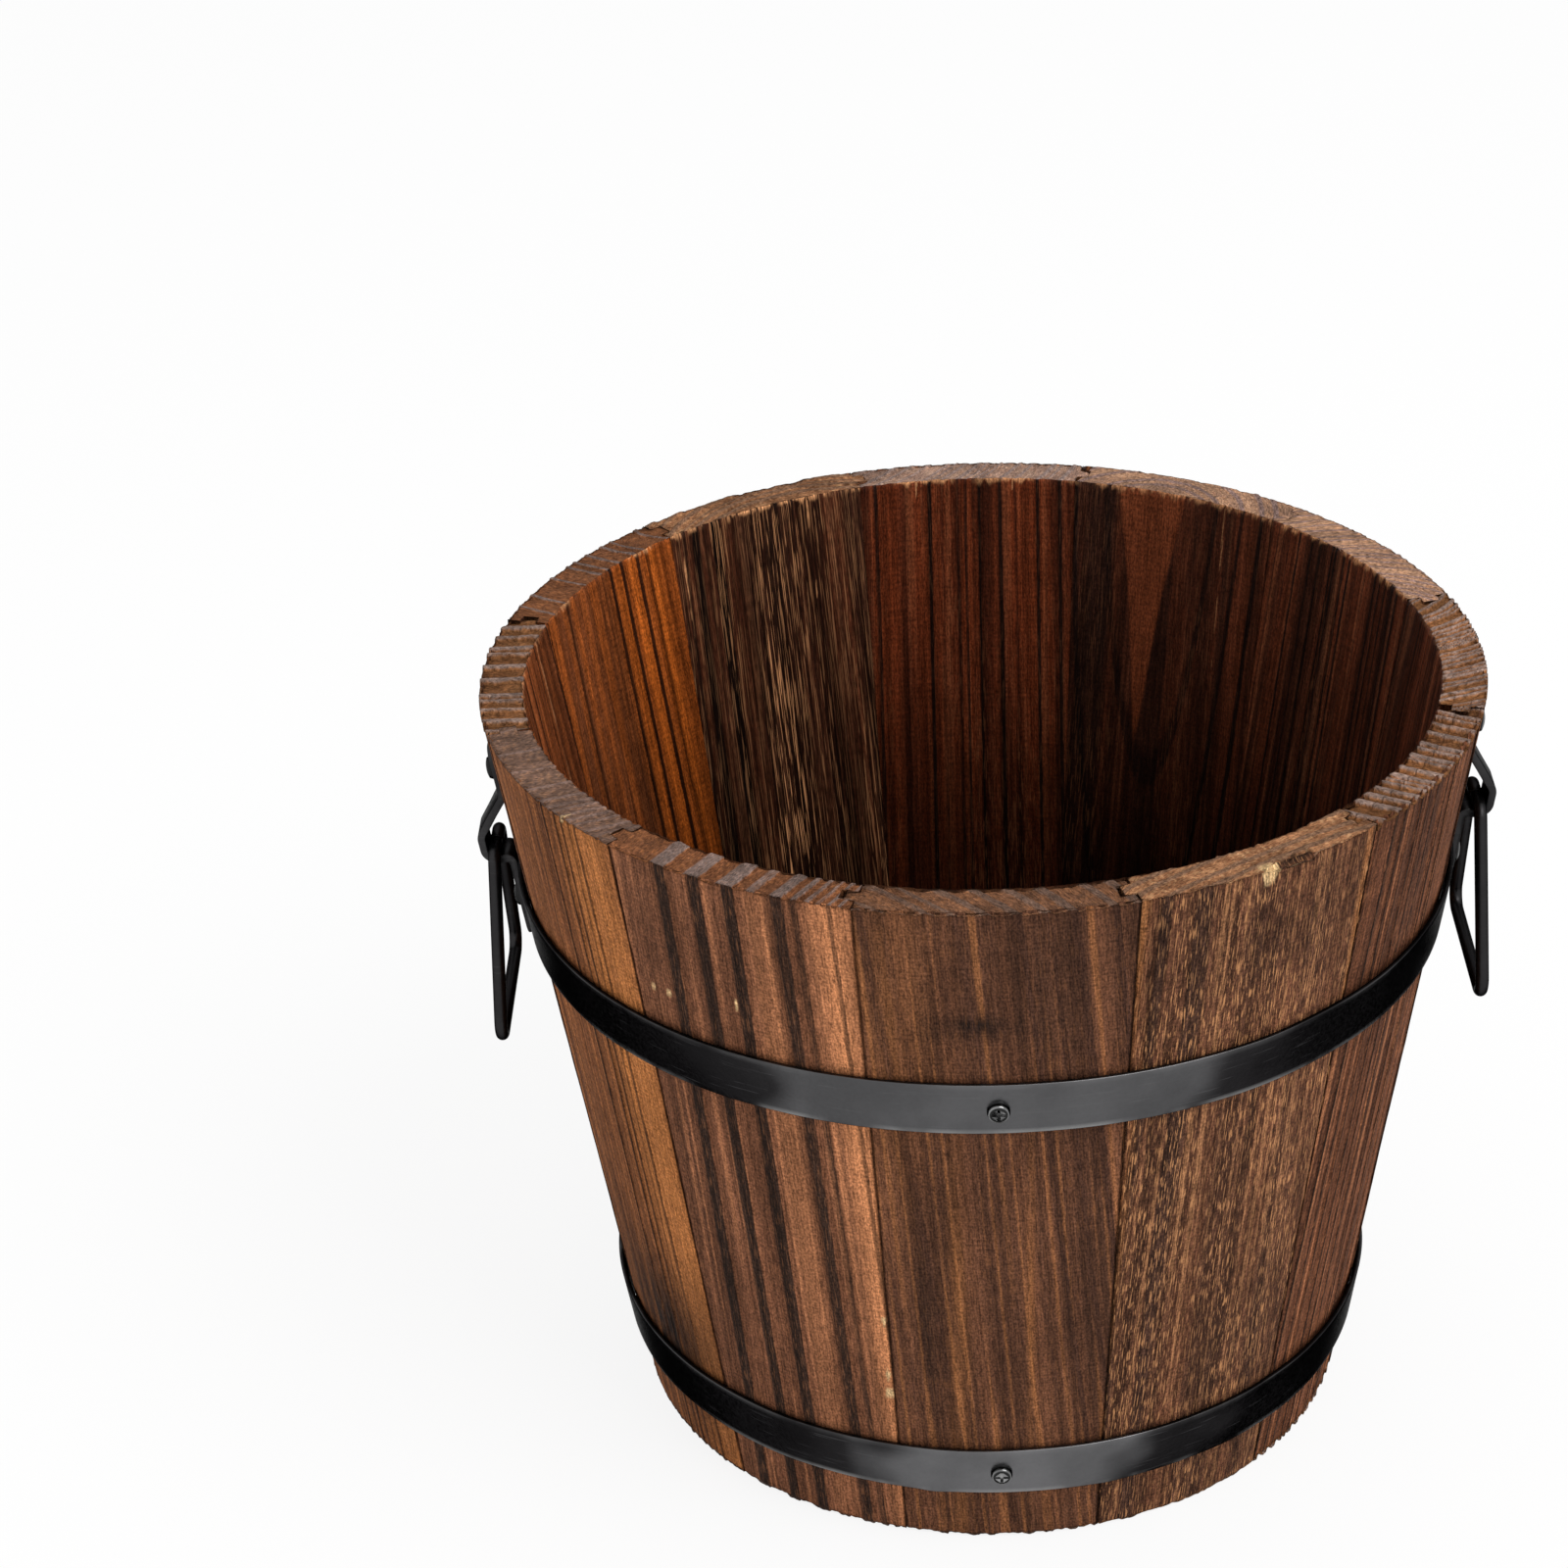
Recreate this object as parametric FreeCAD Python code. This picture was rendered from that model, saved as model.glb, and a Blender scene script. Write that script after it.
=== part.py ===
import FreeCAD, Part
import math
import os

# Wooden flower pot: a tapered wall of tongued and grooved staves, held by two flat iron hoops,
# with a boarded base let into a groove and an iron drop handle on each side.
# Millimetres. The origin is on the ground under the middle of the pot and Z is up.
# The front is toward -Y, and the handles are at -X and +X.

# Staved wall
height = 240.0
top_radius = 150.0
bottom_radius = 112.0
stave_count = 12
stave_thickness = 14.0
edge_ease = 0.8
tongue_width = 5.0
tongue_length = 3.4
tongue_side_gap = 0.15
tongue_tip_gap = 0.6

# Base boards and the groove that holds them
base_rise = 14.0
base_thickness = 12.0
base_board_names = ("front", "middle", "back")
croze_depth = 4.0
croze_edge_gap = 0.4
croze_top_gap = 0.3
drain_diameter = 16.0

# Hoops
hoop_width = 17.5
hoop_thickness = 1.5
upper_hoop_drop = 59.3
lower_hoop_rise = 20.5
lap_length = 30.0
lap_gap = 0.1
joggle_length = 9.0

# Hoop screws
hoop_screw_length = 13.0
hoop_screw_diameter = 3.2
hoop_screw_head_diameter = 6.5
hoop_screw_head_height = 2.0

# Bracket screws
bracket_screw_length = 13.0
bracket_screw_diameter = 3.6
bracket_screw_head_diameter = 7.4
bracket_screw_head_height = 2.3

# Values that all the screws share, with round heads and crossed slots
screw_gap = 0.08
screw_point_length = 3.0
slot_width = 0.9
slot_length_share = 0.6
slot_depth_share = 0.55
# Shares of a head's radius and height, from its rim to its flat face
head_outline_shares = [(1, 0), (1, 0.4), (0.88, 0.85), (0.62, 1), (0, 1)]

# Handle brackets, one strap each, bent out into a knuckle
bracket_drop = {"left": 21.5, "right": 14.5}
bracket_thickness = 2.4
bracket_leg_length = 17.0
bracket_slope_length = 13.0
knuckle_reach = 12.4
knuckle_height = 8.2
knuckle_floor_gap = 0.5
bracket_step_length = 6.0
bracket_plate_length = 21.0
bracket_bend_radius = 4.0
bracket_fold_radius = 2.5
bracket_leg_width = 14.0
knuckle_width = 11.0
bracket_plate_width = 17.0
bracket_corner_radius = 4.0
bracket_screw_drop = 9.5
bracket_plate_screw_rise = 11.0

# Bails, bent from round wire whose ends meet inside the knuckle
wire_diameter = 4.0
bail_drop = 54.0
bail_top_width = 19.0
bail_bottom_width = 62.0
bail_top_bend = 4.0
bail_bottom_bend = 5.0
bail_end_gap = 0.6
hinge_gap = 0.3

# How far every cutting shape runs past what it cuts
overrun = 2.0

ORIGIN = FreeCAD.Vector(0, 0, 0)
UP = FreeCAD.Vector(0, 0, 1)
FRONT_ANGLE = -90.0
BACK_ANGLE = 90.0
SIDE_ANGLES = {"left": 180.0, "right": 0.0}

wall_slope = (top_radius - bottom_radius) / height
lean = math.atan(wall_slope)
stave_angle = 360.0 / stave_count
base_top = base_rise + base_thickness
knuckle_top = bracket_leg_length + bracket_slope_length
knuckle_floor = knuckle_top + knuckle_height
plate_start = knuckle_floor + bracket_step_length
bracket_length = plate_start + bracket_plate_length
half_strap = bracket_thickness / 2
knuckle_nose = knuckle_reach - half_strap
knuckle_radius = wire_diameter / 2 + hinge_gap + half_strap


def outer_radius(z):
    """Radius of the wall's outside at a height."""
    return bottom_radius + wall_slope * z


def inner_radius(z):
    """Radius of the wall's inside at a height."""
    return outer_radius(z) - stave_thickness


base_radius = inner_radius(base_rise) + croze_depth - croze_edge_gap


def turned(shape, degrees):
    """A copy of a shape, turned about the pot's axis."""
    copy = shape.copy()
    copy.rotate(ORIGIN, UP, degrees)
    return copy


def at_radius(radius, z):
    """A point in the upright plane through +X."""
    return FreeCAD.Vector(radius, 0, z)


def flat_face(points):
    """A face with straight edges through a closed run of points."""
    return Part.Face(Part.makePolygon(list(points) + [points[0]]))


def revolved(points, degrees=360.0):
    """A solid turned about the pot's axis from (radius, height) points."""
    face = flat_face([at_radius(r, z) for r, z in points])
    return face.revolve(ORIGIN, UP, degrees)


# Rounded outlines and bent strips

def unit(vector):
    """A vector of length one in the same direction."""
    return vector.multiply(1 / vector.Length)


def rounded_edges(points, radii):
    """Lines through points, with a tangent arc of the given radius at each inner point."""
    edges = []
    start = points[0]
    for before, corner, after, radius in zip(points, points[1:], points[2:], radii):
        to_before = unit(before - corner)
        to_after = unit(after - corner)
        half_turn = (math.pi - to_before.getAngle(to_after)) / 2
        reach = radius * math.tan(half_turn)
        arc_start = corner + to_before * reach
        arc_end = corner + to_after * reach
        inward = unit(to_before + to_after)
        arc_middle = corner + inward * (radius / math.cos(half_turn) - radius)
        edges.append(Part.LineSegment(start, arc_start).toShape())
        edges.append(Part.Arc(arc_start, arc_middle, arc_end).toShape())
        start = arc_end
    edges.append(Part.LineSegment(start, points[-1]).toShape())
    return edges


def shifted_path(points, radii, normal, shift):
    """The points and bend radii of a bent path, moved sideways by a distance."""
    sides = []
    for start, end in zip(points, points[1:]):
        sides.append(unit(end - start).cross(normal))
    moved = [points[0] + sides[0] * shift]
    new_radii = []
    for corner, side, next_side, radius in zip(points[1:], sides, sides[1:], radii):
        mitre = unit(side + next_side)
        moved.append(corner + mitre * (shift / mitre.dot(side)))
        turns_to_side = side.cross(next_side).dot(normal) < 0
        new_radii.append(radius - shift if turns_to_side else radius + shift)
    moved.append(points[-1] + sides[-1] * shift)
    return moved, new_radii


def bent_strip(points, radii, normal, thickness):
    """The side view of a strip of even thickness that follows a bent path."""
    one_points, one_radii = shifted_path(points, radii, normal, thickness / 2)
    two_points, two_radii = shifted_path(points, radii, normal, -thickness / 2)
    edges = rounded_edges(one_points, one_radii)
    edges.append(Part.LineSegment(one_points[-1], two_points[-1]).toShape())
    edges += rounded_edges(two_points, two_radii)
    edges.append(Part.LineSegment(two_points[0], one_points[0]).toShape())
    return Part.Face(Part.Wire(Part.__sortEdges__(edges)))


# Places on the wall

down_wall = FreeCAD.Vector(-math.sin(lean), 0, -math.cos(lean))
out_of_wall = FreeCAD.Vector(math.cos(lean), 0, -math.sin(lean))
across_wall = FreeCAD.Vector(0, 1, 0)


def on_wall(z, out=0, down=0):
    """A point at +X that is out from the wall, and down it, from a height."""
    return at_radius(outer_radius(z), z) + out_of_wall * out + down_wall * down


# Screws

def screw_outline(length, radius, head_radius, head_height):
    """Half of a screw's outline as (radius, height) points, from the seat of its head at zero."""
    shank = [(0, -length), (radius, -length + screw_point_length), (radius, 0)]
    return shank + [(head_radius * r, head_height * h) for r, h in head_outline_shares]


def hole_outline(length, radius):
    """Half of the outline of the hole that takes a screw's shank."""
    wide = radius + screw_gap
    tip = -length - screw_gap
    return [(0, tip), (wide, tip + screw_point_length), (wide, overrun), (0, overrun)]


def crossed_slot(head_radius, head_height):
    """A tool that cuts the crossed slot of a screw's head."""
    half_length = head_radius * slot_length_share
    half_width = slot_width / 2
    floor = head_height * (1 - slot_depth_share)
    bars = []
    for half_x, half_y in ((half_length, half_width), (half_width, half_length)):
        corner = FreeCAD.Vector(-half_x, -half_y, floor)
        bars.append(Part.makeBox(2 * half_x, 2 * half_y, head_height, corner))
    return bars[0].fuse(bars[1])


def square_to_wall(shape, z, out, down):
    """A shape that stands up from the origin, set square to the wall at +X."""
    shape.rotate(ORIGIN, FreeCAD.Vector(0, 1, 0), math.degrees(math.pi / 2 + lean))
    shape.translate(on_wall(z, out, down))
    return shape


def wall_screw(size, z, out, down=0, hole=False):
    """A screw at +X, or the hole that takes its shank."""
    length, radius, head_radius, head_height = size
    if hole:
        return square_to_wall(revolved(hole_outline(length, radius)), z, out, down)
    screw = revolved(screw_outline(*size)).cut(crossed_slot(head_radius, head_height))
    return square_to_wall(screw, z, out, down)


hoop_screw_size = (
    hoop_screw_length,
    hoop_screw_diameter / 2,
    hoop_screw_head_diameter / 2,
    hoop_screw_head_height,
)
bracket_screw_size = (
    bracket_screw_length,
    bracket_screw_diameter / 2,
    bracket_screw_head_diameter / 2,
    bracket_screw_head_height,
)
upper_hoop_bottom = height - upper_hoop_drop - hoop_width
hoop_bottoms = {"upper": upper_hoop_bottom, "lower": lower_hoop_rise}
hoop_outs = {FRONT_ANGLE: hoop_thickness, BACK_ANGLE: 2 * hoop_thickness + lap_gap}


def hoop_screws(name, hole=False):
    """The front and back screws of a hoop, or the holes that take them."""
    z = hoop_bottoms[name] + hoop_width / 2
    screws = []
    for angle, out in hoop_outs.items():
        screws.append(turned(wall_screw(hoop_screw_size, z, out, 0, hole), angle))
    return screws


def bracket_screws(side, hole=False):
    """The two screws of a bracket, or the holes that take them."""
    z = height - bracket_drop[side]
    plate_drop = bracket_length - bracket_plate_screw_rise
    out_downs = [
        (bracket_thickness, bracket_screw_drop),
        (hoop_thickness + bracket_thickness, plate_drop),
    ]
    screws = []
    for out, down in out_downs:
        screw = wall_screw(bracket_screw_size, z, out, down, hole)
        screws.append(turned(screw, SIDE_ANGLES[side]))
    return screws


# Staves

def stave_section():
    """The side view of a stave, with eased ends and the groove for the base."""
    groove_radius = base_radius + croze_edge_gap
    groove_top = base_top + croze_top_gap
    return [
        (inner_radius(0) + edge_ease, 0),
        (outer_radius(0) - edge_ease, 0),
        (outer_radius(edge_ease), edge_ease),
        (outer_radius(height - edge_ease), height - edge_ease),
        (outer_radius(height) - edge_ease, height),
        (inner_radius(height) + edge_ease, height),
        (inner_radius(height - edge_ease), height - edge_ease),
        (inner_radius(groove_top), groove_top),
        (groove_radius, groove_top),
        (groove_radius, base_rise),
        (inner_radius(base_rise), base_rise),
        (inner_radius(edge_ease), edge_ease),
    ]


def tongue(width, length, past_ends):
    """A tongue along the joint at angle zero, reaching toward -Y."""
    low = -past_ends
    high = height + past_ends
    out = (stave_thickness - width) / 2
    face = flat_face([
        at_radius(outer_radius(low) - out, low),
        at_radius(outer_radius(high) - out, high),
        at_radius(outer_radius(high) - out - width, high),
        at_radius(outer_radius(low) - out - width, low),
    ])
    return face.extrude(FreeCAD.Vector(0, -length, 0))


def make_stave():
    """A stave from angle zero round to the next joint."""
    blank = revolved(stave_section(), stave_angle)
    groove = tongue(tongue_width + 2 * tongue_side_gap, tongue_length + tongue_tip_gap, overrun)
    grooved = blank.cut(turned(groove, stave_angle))
    return grooved.fuse(tongue(tongue_width, tongue_length, 0)).removeSplitter()


def make_staves():
    """All the staves by name, numbered round from the front, with their screw holes."""
    holes = []
    for name in hoop_bottoms:
        holes += hoop_screws(name, True)
    for side in SIDE_ANGLES:
        holes += bracket_screws(side, True)
    stave = make_stave()
    staves = {}
    for number in range(stave_count):
        start = FRONT_ANGLE + (number - 1 / 2) * stave_angle
        placed = turned(stave, start)
        for hole in holes:
            if placed.BoundBox.intersect(hole.BoundBox):
                placed = placed.cut(hole)
        staves["stave_%02d" % (number + 1)] = placed
    return staves


# Base

def make_base_boards():
    """The boards of the base, side by side from front to back."""
    disc = Part.makeCylinder(base_radius, base_thickness, at_radius(0, base_rise))
    drain = Part.makeCylinder(drain_diameter / 2, base_thickness, at_radius(0, base_rise))
    disc = disc.cut(drain)
    width = 2 * base_radius / len(base_board_names)
    boards = {}
    for number, name in enumerate(base_board_names):
        corner = FreeCAD.Vector(-base_radius, -base_radius + number * width, base_rise)
        strip = Part.makeBox(2 * base_radius, width, base_thickness, corner)
        boards["base_board_" + name] = disc.common(strip)
    return boards


# Hoops

def hoop_section(bottom, out):
    """The cut end of a hoop's band at +X, standing out from the wall."""
    top = bottom + hoop_width
    slant = hoop_thickness / math.cos(lean)
    gap = out / math.cos(lean)
    return [
        at_radius(outer_radius(bottom) + gap, bottom),
        at_radius(outer_radius(bottom) + gap + slant, bottom),
        at_radius(outer_radius(top) + gap + slant, top),
        at_radius(outer_radius(top) + gap, top),
    ]


def make_hoop(name):
    """A band round the wall, stepped out at the back to lap over its own start."""
    bottom = hoop_bottoms[name]
    radius = outer_radius(bottom)
    lap = math.degrees(lap_length / radius)
    joggle = math.degrees(joggle_length / radius)
    end_gap = math.degrees(lap_gap / radius)
    step_out = hoop_thickness + lap_gap
    start = BACK_ANGLE - lap / 2
    low_end = flat_face(hoop_section(bottom, 0))
    high_end = flat_face(hoop_section(bottom, step_out))
    band = turned(low_end, start).revolve(ORIGIN, UP, 360.0 - joggle - end_gap)
    lapped = turned(high_end, start).revolve(ORIGIN, UP, lap)
    joggle_ends = [turned(low_end, start - joggle - end_gap), turned(high_end, start)]
    step = Part.makeLoft([end.OuterWire for end in joggle_ends], True, True)
    hoop = band.fuse([step, lapped])
    holes = hoop_screws(name, True)
    if name == "upper":
        for side in SIDE_ANGLES:
            holes += bracket_screws(side, True)
    for hole in holes:
        hoop = hoop.cut(hole)
    return hoop


# Handles

def bracket_path():
    """The strap's middle line, as (out from the wall, down the wall) points with bend radii."""
    on_hoop = hoop_thickness + half_strap
    points = [
        (half_strap, 0),
        (half_strap, bracket_leg_length),
        (knuckle_nose, knuckle_top),
        (knuckle_nose, knuckle_floor),
        (on_hoop + knuckle_floor_gap, knuckle_floor),
        (on_hoop, plate_start),
        (on_hoop, bracket_length),
    ]
    radii = [
        bracket_bend_radius,
        bracket_bend_radius,
        knuckle_radius,
        bracket_fold_radius,
        bracket_fold_radius,
    ]
    return points, radii


def hinge_point(side):
    """The middle of the knuckle's bend, where the bail's wire turns, at +X."""
    z = height - bracket_drop[side]
    return on_wall(z, knuckle_nose - knuckle_radius, knuckle_floor - knuckle_radius)


def bracket_front(z):
    """The front view of a bracket as a tool as deep as its knuckle, at +X."""
    half_outline = [
        (bracket_leg_width / 2, 0),
        (bracket_leg_width / 2, bracket_leg_length),
        (knuckle_width / 2, (bracket_leg_length + knuckle_top) / 2),
        (knuckle_width / 2, knuckle_floor),
        (bracket_plate_width / 2, plate_start),
        (bracket_plate_width / 2, bracket_length),
    ]
    outline = half_outline + [(-across, down) for across, down in reversed(half_outline)]
    corners = []
    for across, down in outline:
        corners.append(on_wall(z, -overrun, down) + across_wall * across)
    block = flat_face(corners).extrude(out_of_wall * (knuckle_reach + 2 * overrun))
    end_edges = []
    for edge in block.Edges:
        down = (edge.CenterOfMass - on_wall(z)).dot(down_wall)
        at_end = down < overrun or down > bracket_length - overrun
        if at_end and abs(edge.tangentAt(0).dot(out_of_wall)) > math.cos(lean):
            end_edges.append(edge)
    return block.makeFillet(bracket_corner_radius, end_edges)


def make_bracket(side):
    """A handle bracket: a bent strap, cut to its front outline and drilled."""
    z = height - bracket_drop[side]
    points, radii = bracket_path()
    line = [on_wall(z, out, down) for out, down in points]
    strip = bent_strip(line, radii, across_wall, bracket_thickness)
    widest = max(bracket_leg_width, knuckle_width, bracket_plate_width)
    strip.translate(across_wall * (-widest / 2))
    strap = strip.extrude(across_wall * widest)
    bracket = turned(strap.common(bracket_front(z)), SIDE_ANGLES[side])
    for hole in bracket_screws(side, True):
        bracket = bracket.cut(hole)
    return bracket


def make_bail(side):
    """A wire bail that hangs straight down from the knuckle, with its ends meeting at the top."""
    hinge = hinge_point(side)
    bottom = hinge.z - bail_drop
    half_top = bail_top_width / 2
    half_bottom = bail_bottom_width / 2
    half_gap = bail_end_gap / 2
    across_heights = [
        (half_gap, hinge.z),
        (half_top, hinge.z),
        (half_bottom, bottom),
        (-half_bottom, bottom),
        (-half_top, hinge.z),
        (-half_gap, hinge.z),
    ]
    line = [FreeCAD.Vector(hinge.x, across, z) for across, z in across_heights]
    radii = [bail_top_bend, bail_bottom_bend, bail_bottom_bend, bail_top_bend]
    path = Part.Wire(rounded_edges(line, radii))
    circle = Part.makeCircle(wire_diameter / 2, line[0], across_wall)
    wire = path.makePipeShell([Part.Wire(circle)], True, False)
    return turned(wire, SIDE_ANGLES[side])


def make_all():
    """Every node's shape by name."""
    shapes = make_staves()
    shapes.update(make_base_boards())
    for name in hoop_bottoms:
        shapes[name + "_hoop"] = make_hoop(name)
        shapes[name + "_hoop_screws"] = Part.makeCompound(hoop_screws(name))
    for side in SIDE_ANGLES:
        shapes[side + "_bracket"] = make_bracket(side)
        shapes[side + "_bracket_screws"] = Part.makeCompound(bracket_screws(side))
        shapes[side + "_bail"] = make_bail(side)
    return shapes


os.makedirs("parts", exist_ok=True)
for node, shape in make_all().items():
    shape.exportStep("parts/" + node + ".step")
    print(node, len(shape.Solids), "solids", round(shape.Volume), "cubic mm", shape.isValid())
for side, angle in SIDE_ANGLES.items():
    hinge = hinge_point(side)
    print(side, "hinge at", turned(Part.Vertex(hinge), angle).Point)
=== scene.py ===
from dataclasses import dataclass
import itertools
import math

import bmesh
import bpy
import numpy as np
from mathutils import Matrix, Vector


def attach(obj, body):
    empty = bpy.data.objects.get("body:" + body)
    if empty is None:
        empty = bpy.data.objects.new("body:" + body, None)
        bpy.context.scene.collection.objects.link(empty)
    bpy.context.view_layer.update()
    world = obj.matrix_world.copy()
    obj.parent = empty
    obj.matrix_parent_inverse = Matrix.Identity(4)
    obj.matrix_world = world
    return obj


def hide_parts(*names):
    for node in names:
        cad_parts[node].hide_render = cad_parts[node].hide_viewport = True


# The wooden flower pot's looks: every stave is a dense mesh of brushed, scorched wood, and the
# ironwork is eased and painted black. Lengths are millimetres until a mesh is made, and the
# stage, the light and the camera are in metres.
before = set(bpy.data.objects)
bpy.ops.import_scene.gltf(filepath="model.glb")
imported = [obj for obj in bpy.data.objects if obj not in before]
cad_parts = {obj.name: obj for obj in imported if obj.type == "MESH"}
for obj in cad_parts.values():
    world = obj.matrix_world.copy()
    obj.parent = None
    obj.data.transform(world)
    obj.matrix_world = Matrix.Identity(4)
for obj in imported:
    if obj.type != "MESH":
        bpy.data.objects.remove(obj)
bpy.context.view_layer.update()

MM = 0.001

# The wall, as in the model
HEIGHT = 240.0
TOP_RADIUS = 150.0
FOOT_RADIUS = 112.0
THICKNESS = 14.0
STAVES = 12
HALF_STAVE = math.pi / STAVES
SLOPE = (TOP_RADIUS - FOOT_RADIUS) / HEIGHT
TONGUE_WIDTH = 5.0
TONGUE_LENGTH = 3.4
GROOVE_WIDTH = 5.3
CROZE_LOW = 14.0
CROZE_HIGH = 26.3
CROZE_RADIUS = 104.25


def wall_radius(up):
    """Radius of the wall's outside at a height."""
    return FOOT_RADIUS + SLOPE * up


def colour(red, green, blue):
    """A linear colour from the usual 0 to 255 levels."""
    levels = np.array((red, green, blue)) / 255
    return np.where(levels <= 0.04045, levels / 12.92, ((levels + 0.055) / 1.055) ** 2.4)


# Smooth noise and blends

NOISE_SEED = 11
NOISE_CELLS = 32
NOISE_TABLE = np.random.default_rng(NOISE_SEED).random((NOISE_CELLS,) * 3)


def noise(x, y, z):
    """Smooth noise from 0 to 1 at points, with bumps about one unit wide."""
    floors = [np.floor(v).astype(int) for v in (x, y, z)]
    eased = []
    for value, floor in zip((x, y, z), floors):
        part = value - floor
        eased.append(part * part * (3 - 2 * part))
    total = 0
    for corner in itertools.product((0, 1), repeat=3):
        weight = 1
        for bit, part in zip(corner, eased):
            weight = weight * (part if bit else 1 - part)
        cell = tuple((floor + bit) % NOISE_CELLS for floor, bit in zip(floors, corner))
        total = total + weight * NOISE_TABLE[cell]
    return total


def ramp(value, low, high):
    """A smooth rise from 0 to 1 between two values, or a fall if they are the other way round."""
    part = np.clip((value - low) / (high - low), 0, 1)
    return part * part * (3 - 2 * part)


def mixed(one, two, amount):
    """A blend of two colours or arrays of colours."""
    amount = np.asarray(amount)[..., None]
    return one * (1 - amount) + two * amount


def lifted(value, least, more):
    """A share that starts at the least and gains so much more as a value goes from 0 to 1."""
    return least + more * value


def spread(across, up, place):
    """A soft patch from 0 to 1 round a place on a surface."""
    middle, height, half_width, half_height = place
    return np.exp(-((across - middle) / half_width) ** 2 - ((up - height) / half_height) ** 2)


# The shared lattice of a stave: rows through its thickness, columns across it, levels up it

COLUMNS = 200
SIDE_ROWS = 11
TONGUE_ROWS = 13
RIM_STEP = 0.5
FOOT_STEP = 0.6
FOOT_ZONE = 3.0
RIM_ZONE = 5.0
FACE_STEP = 1.7
CROZE_STEP = 1.8
SHARP = 0.02
INNER_SHARE = 0.3
MAP_GAP = 1.5


def stave_rows():
    """Shares of the thickness from the inside, with the tongue's rows in the middle."""
    groove = (THICKNESS - GROOVE_WIDTH) / 2 / THICKNESS
    tongue = (THICKNESS - TONGUE_WIDTH) / 2 / THICKNESS
    low = np.linspace(0, groove, SIDE_ROWS)
    middle = np.linspace(tongue, 1 - tongue, TONGUE_ROWS)
    return np.concatenate((low, middle, 1 - low[::-1]))


def stave_levels():
    """Heights up the stave, closer together at its ends and doubled at the croze's edges."""
    return np.concatenate((
        np.arange(0, FOOT_ZONE, FOOT_STEP),
        np.arange(FOOT_ZONE, CROZE_LOW, CROZE_STEP),
        (CROZE_LOW, CROZE_LOW + SHARP, CROZE_HIGH - SHARP, CROZE_HIGH),
        np.arange(CROZE_HIGH + FACE_STEP, HEIGHT - RIM_ZONE, FACE_STEP),
        np.arange(HEIGHT - RIM_ZONE + RIM_STEP, HEIGHT, RIM_STEP),
        (HEIGHT,),
    ))


def sheet_of(grid, flip):
    """What a grid holds at the four corners of each of its quads."""
    corners = (grid[:-1, :-1], grid[1:, :-1], grid[1:, 1:], grid[:-1, 1:])
    quads = np.stack(corners, axis=2).reshape(-1, 4, *grid.shape[2:])
    return quads[:, ::-1] if flip else quads


def sheet_map(first, second, corner, flip):
    """Map places for the quads of a grid with these coordinates along its two sides."""
    one, two = np.meshgrid(first + corner[0], second + corner[1], indexing="ij")
    return sheet_of(np.stack((one, two), axis=-1), flip)


class Lattice:
    """The vertices, quads and map that all staves share."""

    def __init__(self):
        rows, levels = stave_rows(), stave_levels()
        columns = np.linspace(0, 1, COLUMNS)
        shape = (len(rows), len(columns), len(levels))
        buried = np.zeros(shape, bool)
        buried[1:-1, 1:-1, 1:-1] = True
        index = np.full(shape, -1)
        index[~buried] = np.arange((~buried).sum())
        row, column, level = np.nonzero(~buried)
        self.row, self.column, self.level = rows[row], columns[column], levels[level]
        self.on_inner, self.on_outer = row == 0, row == shape[0] - 1
        self.on_foot, self.on_rim = level == 0, level == shape[2] - 1
        self.ends = self.on_foot | self.on_rim
        self.inner = (self.row < INNER_SHARE) & ~self.ends
        self.lay_sheets(index, rows, columns, levels)

    def lay_sheets(self, index, rows, columns, levels):
        """Makes the six sides' quads and lays them side by side in the map."""
        width = 2 * HALF_STAVE * TOP_RADIUS
        wide, deep = columns * width, rows * THICKNESS
        step = THICKNESS + MAP_GAP
        side = 2 * (width + MAP_GAP)
        sheets = (
            (index[-1], wide, levels, (0, 0), False),
            (index[0], wide, levels, (width + MAP_GAP, 0), True),
            (index[:, 0], deep, levels, (side, 0), False),
            (index[:, -1], deep, levels, (side + step, 0), True),
            (index[:, :, 0], deep, wide, (side + 2 * step, 0), True),
            (index[:, :, -1], deep, wide, (side + 2 * step, width + MAP_GAP), False),
        )
        self.quads = np.concatenate([sheet_of(s[0], s[4]) for s in sheets])
        places = np.concatenate([sheet_map(*s[1:]) for s in sheets]).reshape(-1, 2)
        self.places = (places + MAP_GAP) / (side + 3 * step + 2 * MAP_GAP)


LATTICE = Lattice()


# What each stave is like

GOLD = colour(186, 120, 68)
HONEY = colour(198, 126, 70)
TAN = colour(196, 140, 94)
SAND = colour(220, 157, 108)
STRAW = colour(226, 190, 140)
SOOT = colour(34, 26, 23)
EMBER = colour(30, 18, 14)
SHADE = colour(62, 42, 32)
TAWNY = colour(112, 62, 36)
COPPER = colour(220, 146, 98)
FLAME = colour(106, 53, 30)


def tones(fleck, *woods):
    """A surface's colours: two kinds of soft wood, the hard lines, and the flecks."""
    return (*(colour(*levels) for levels in woods), fleck)


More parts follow.
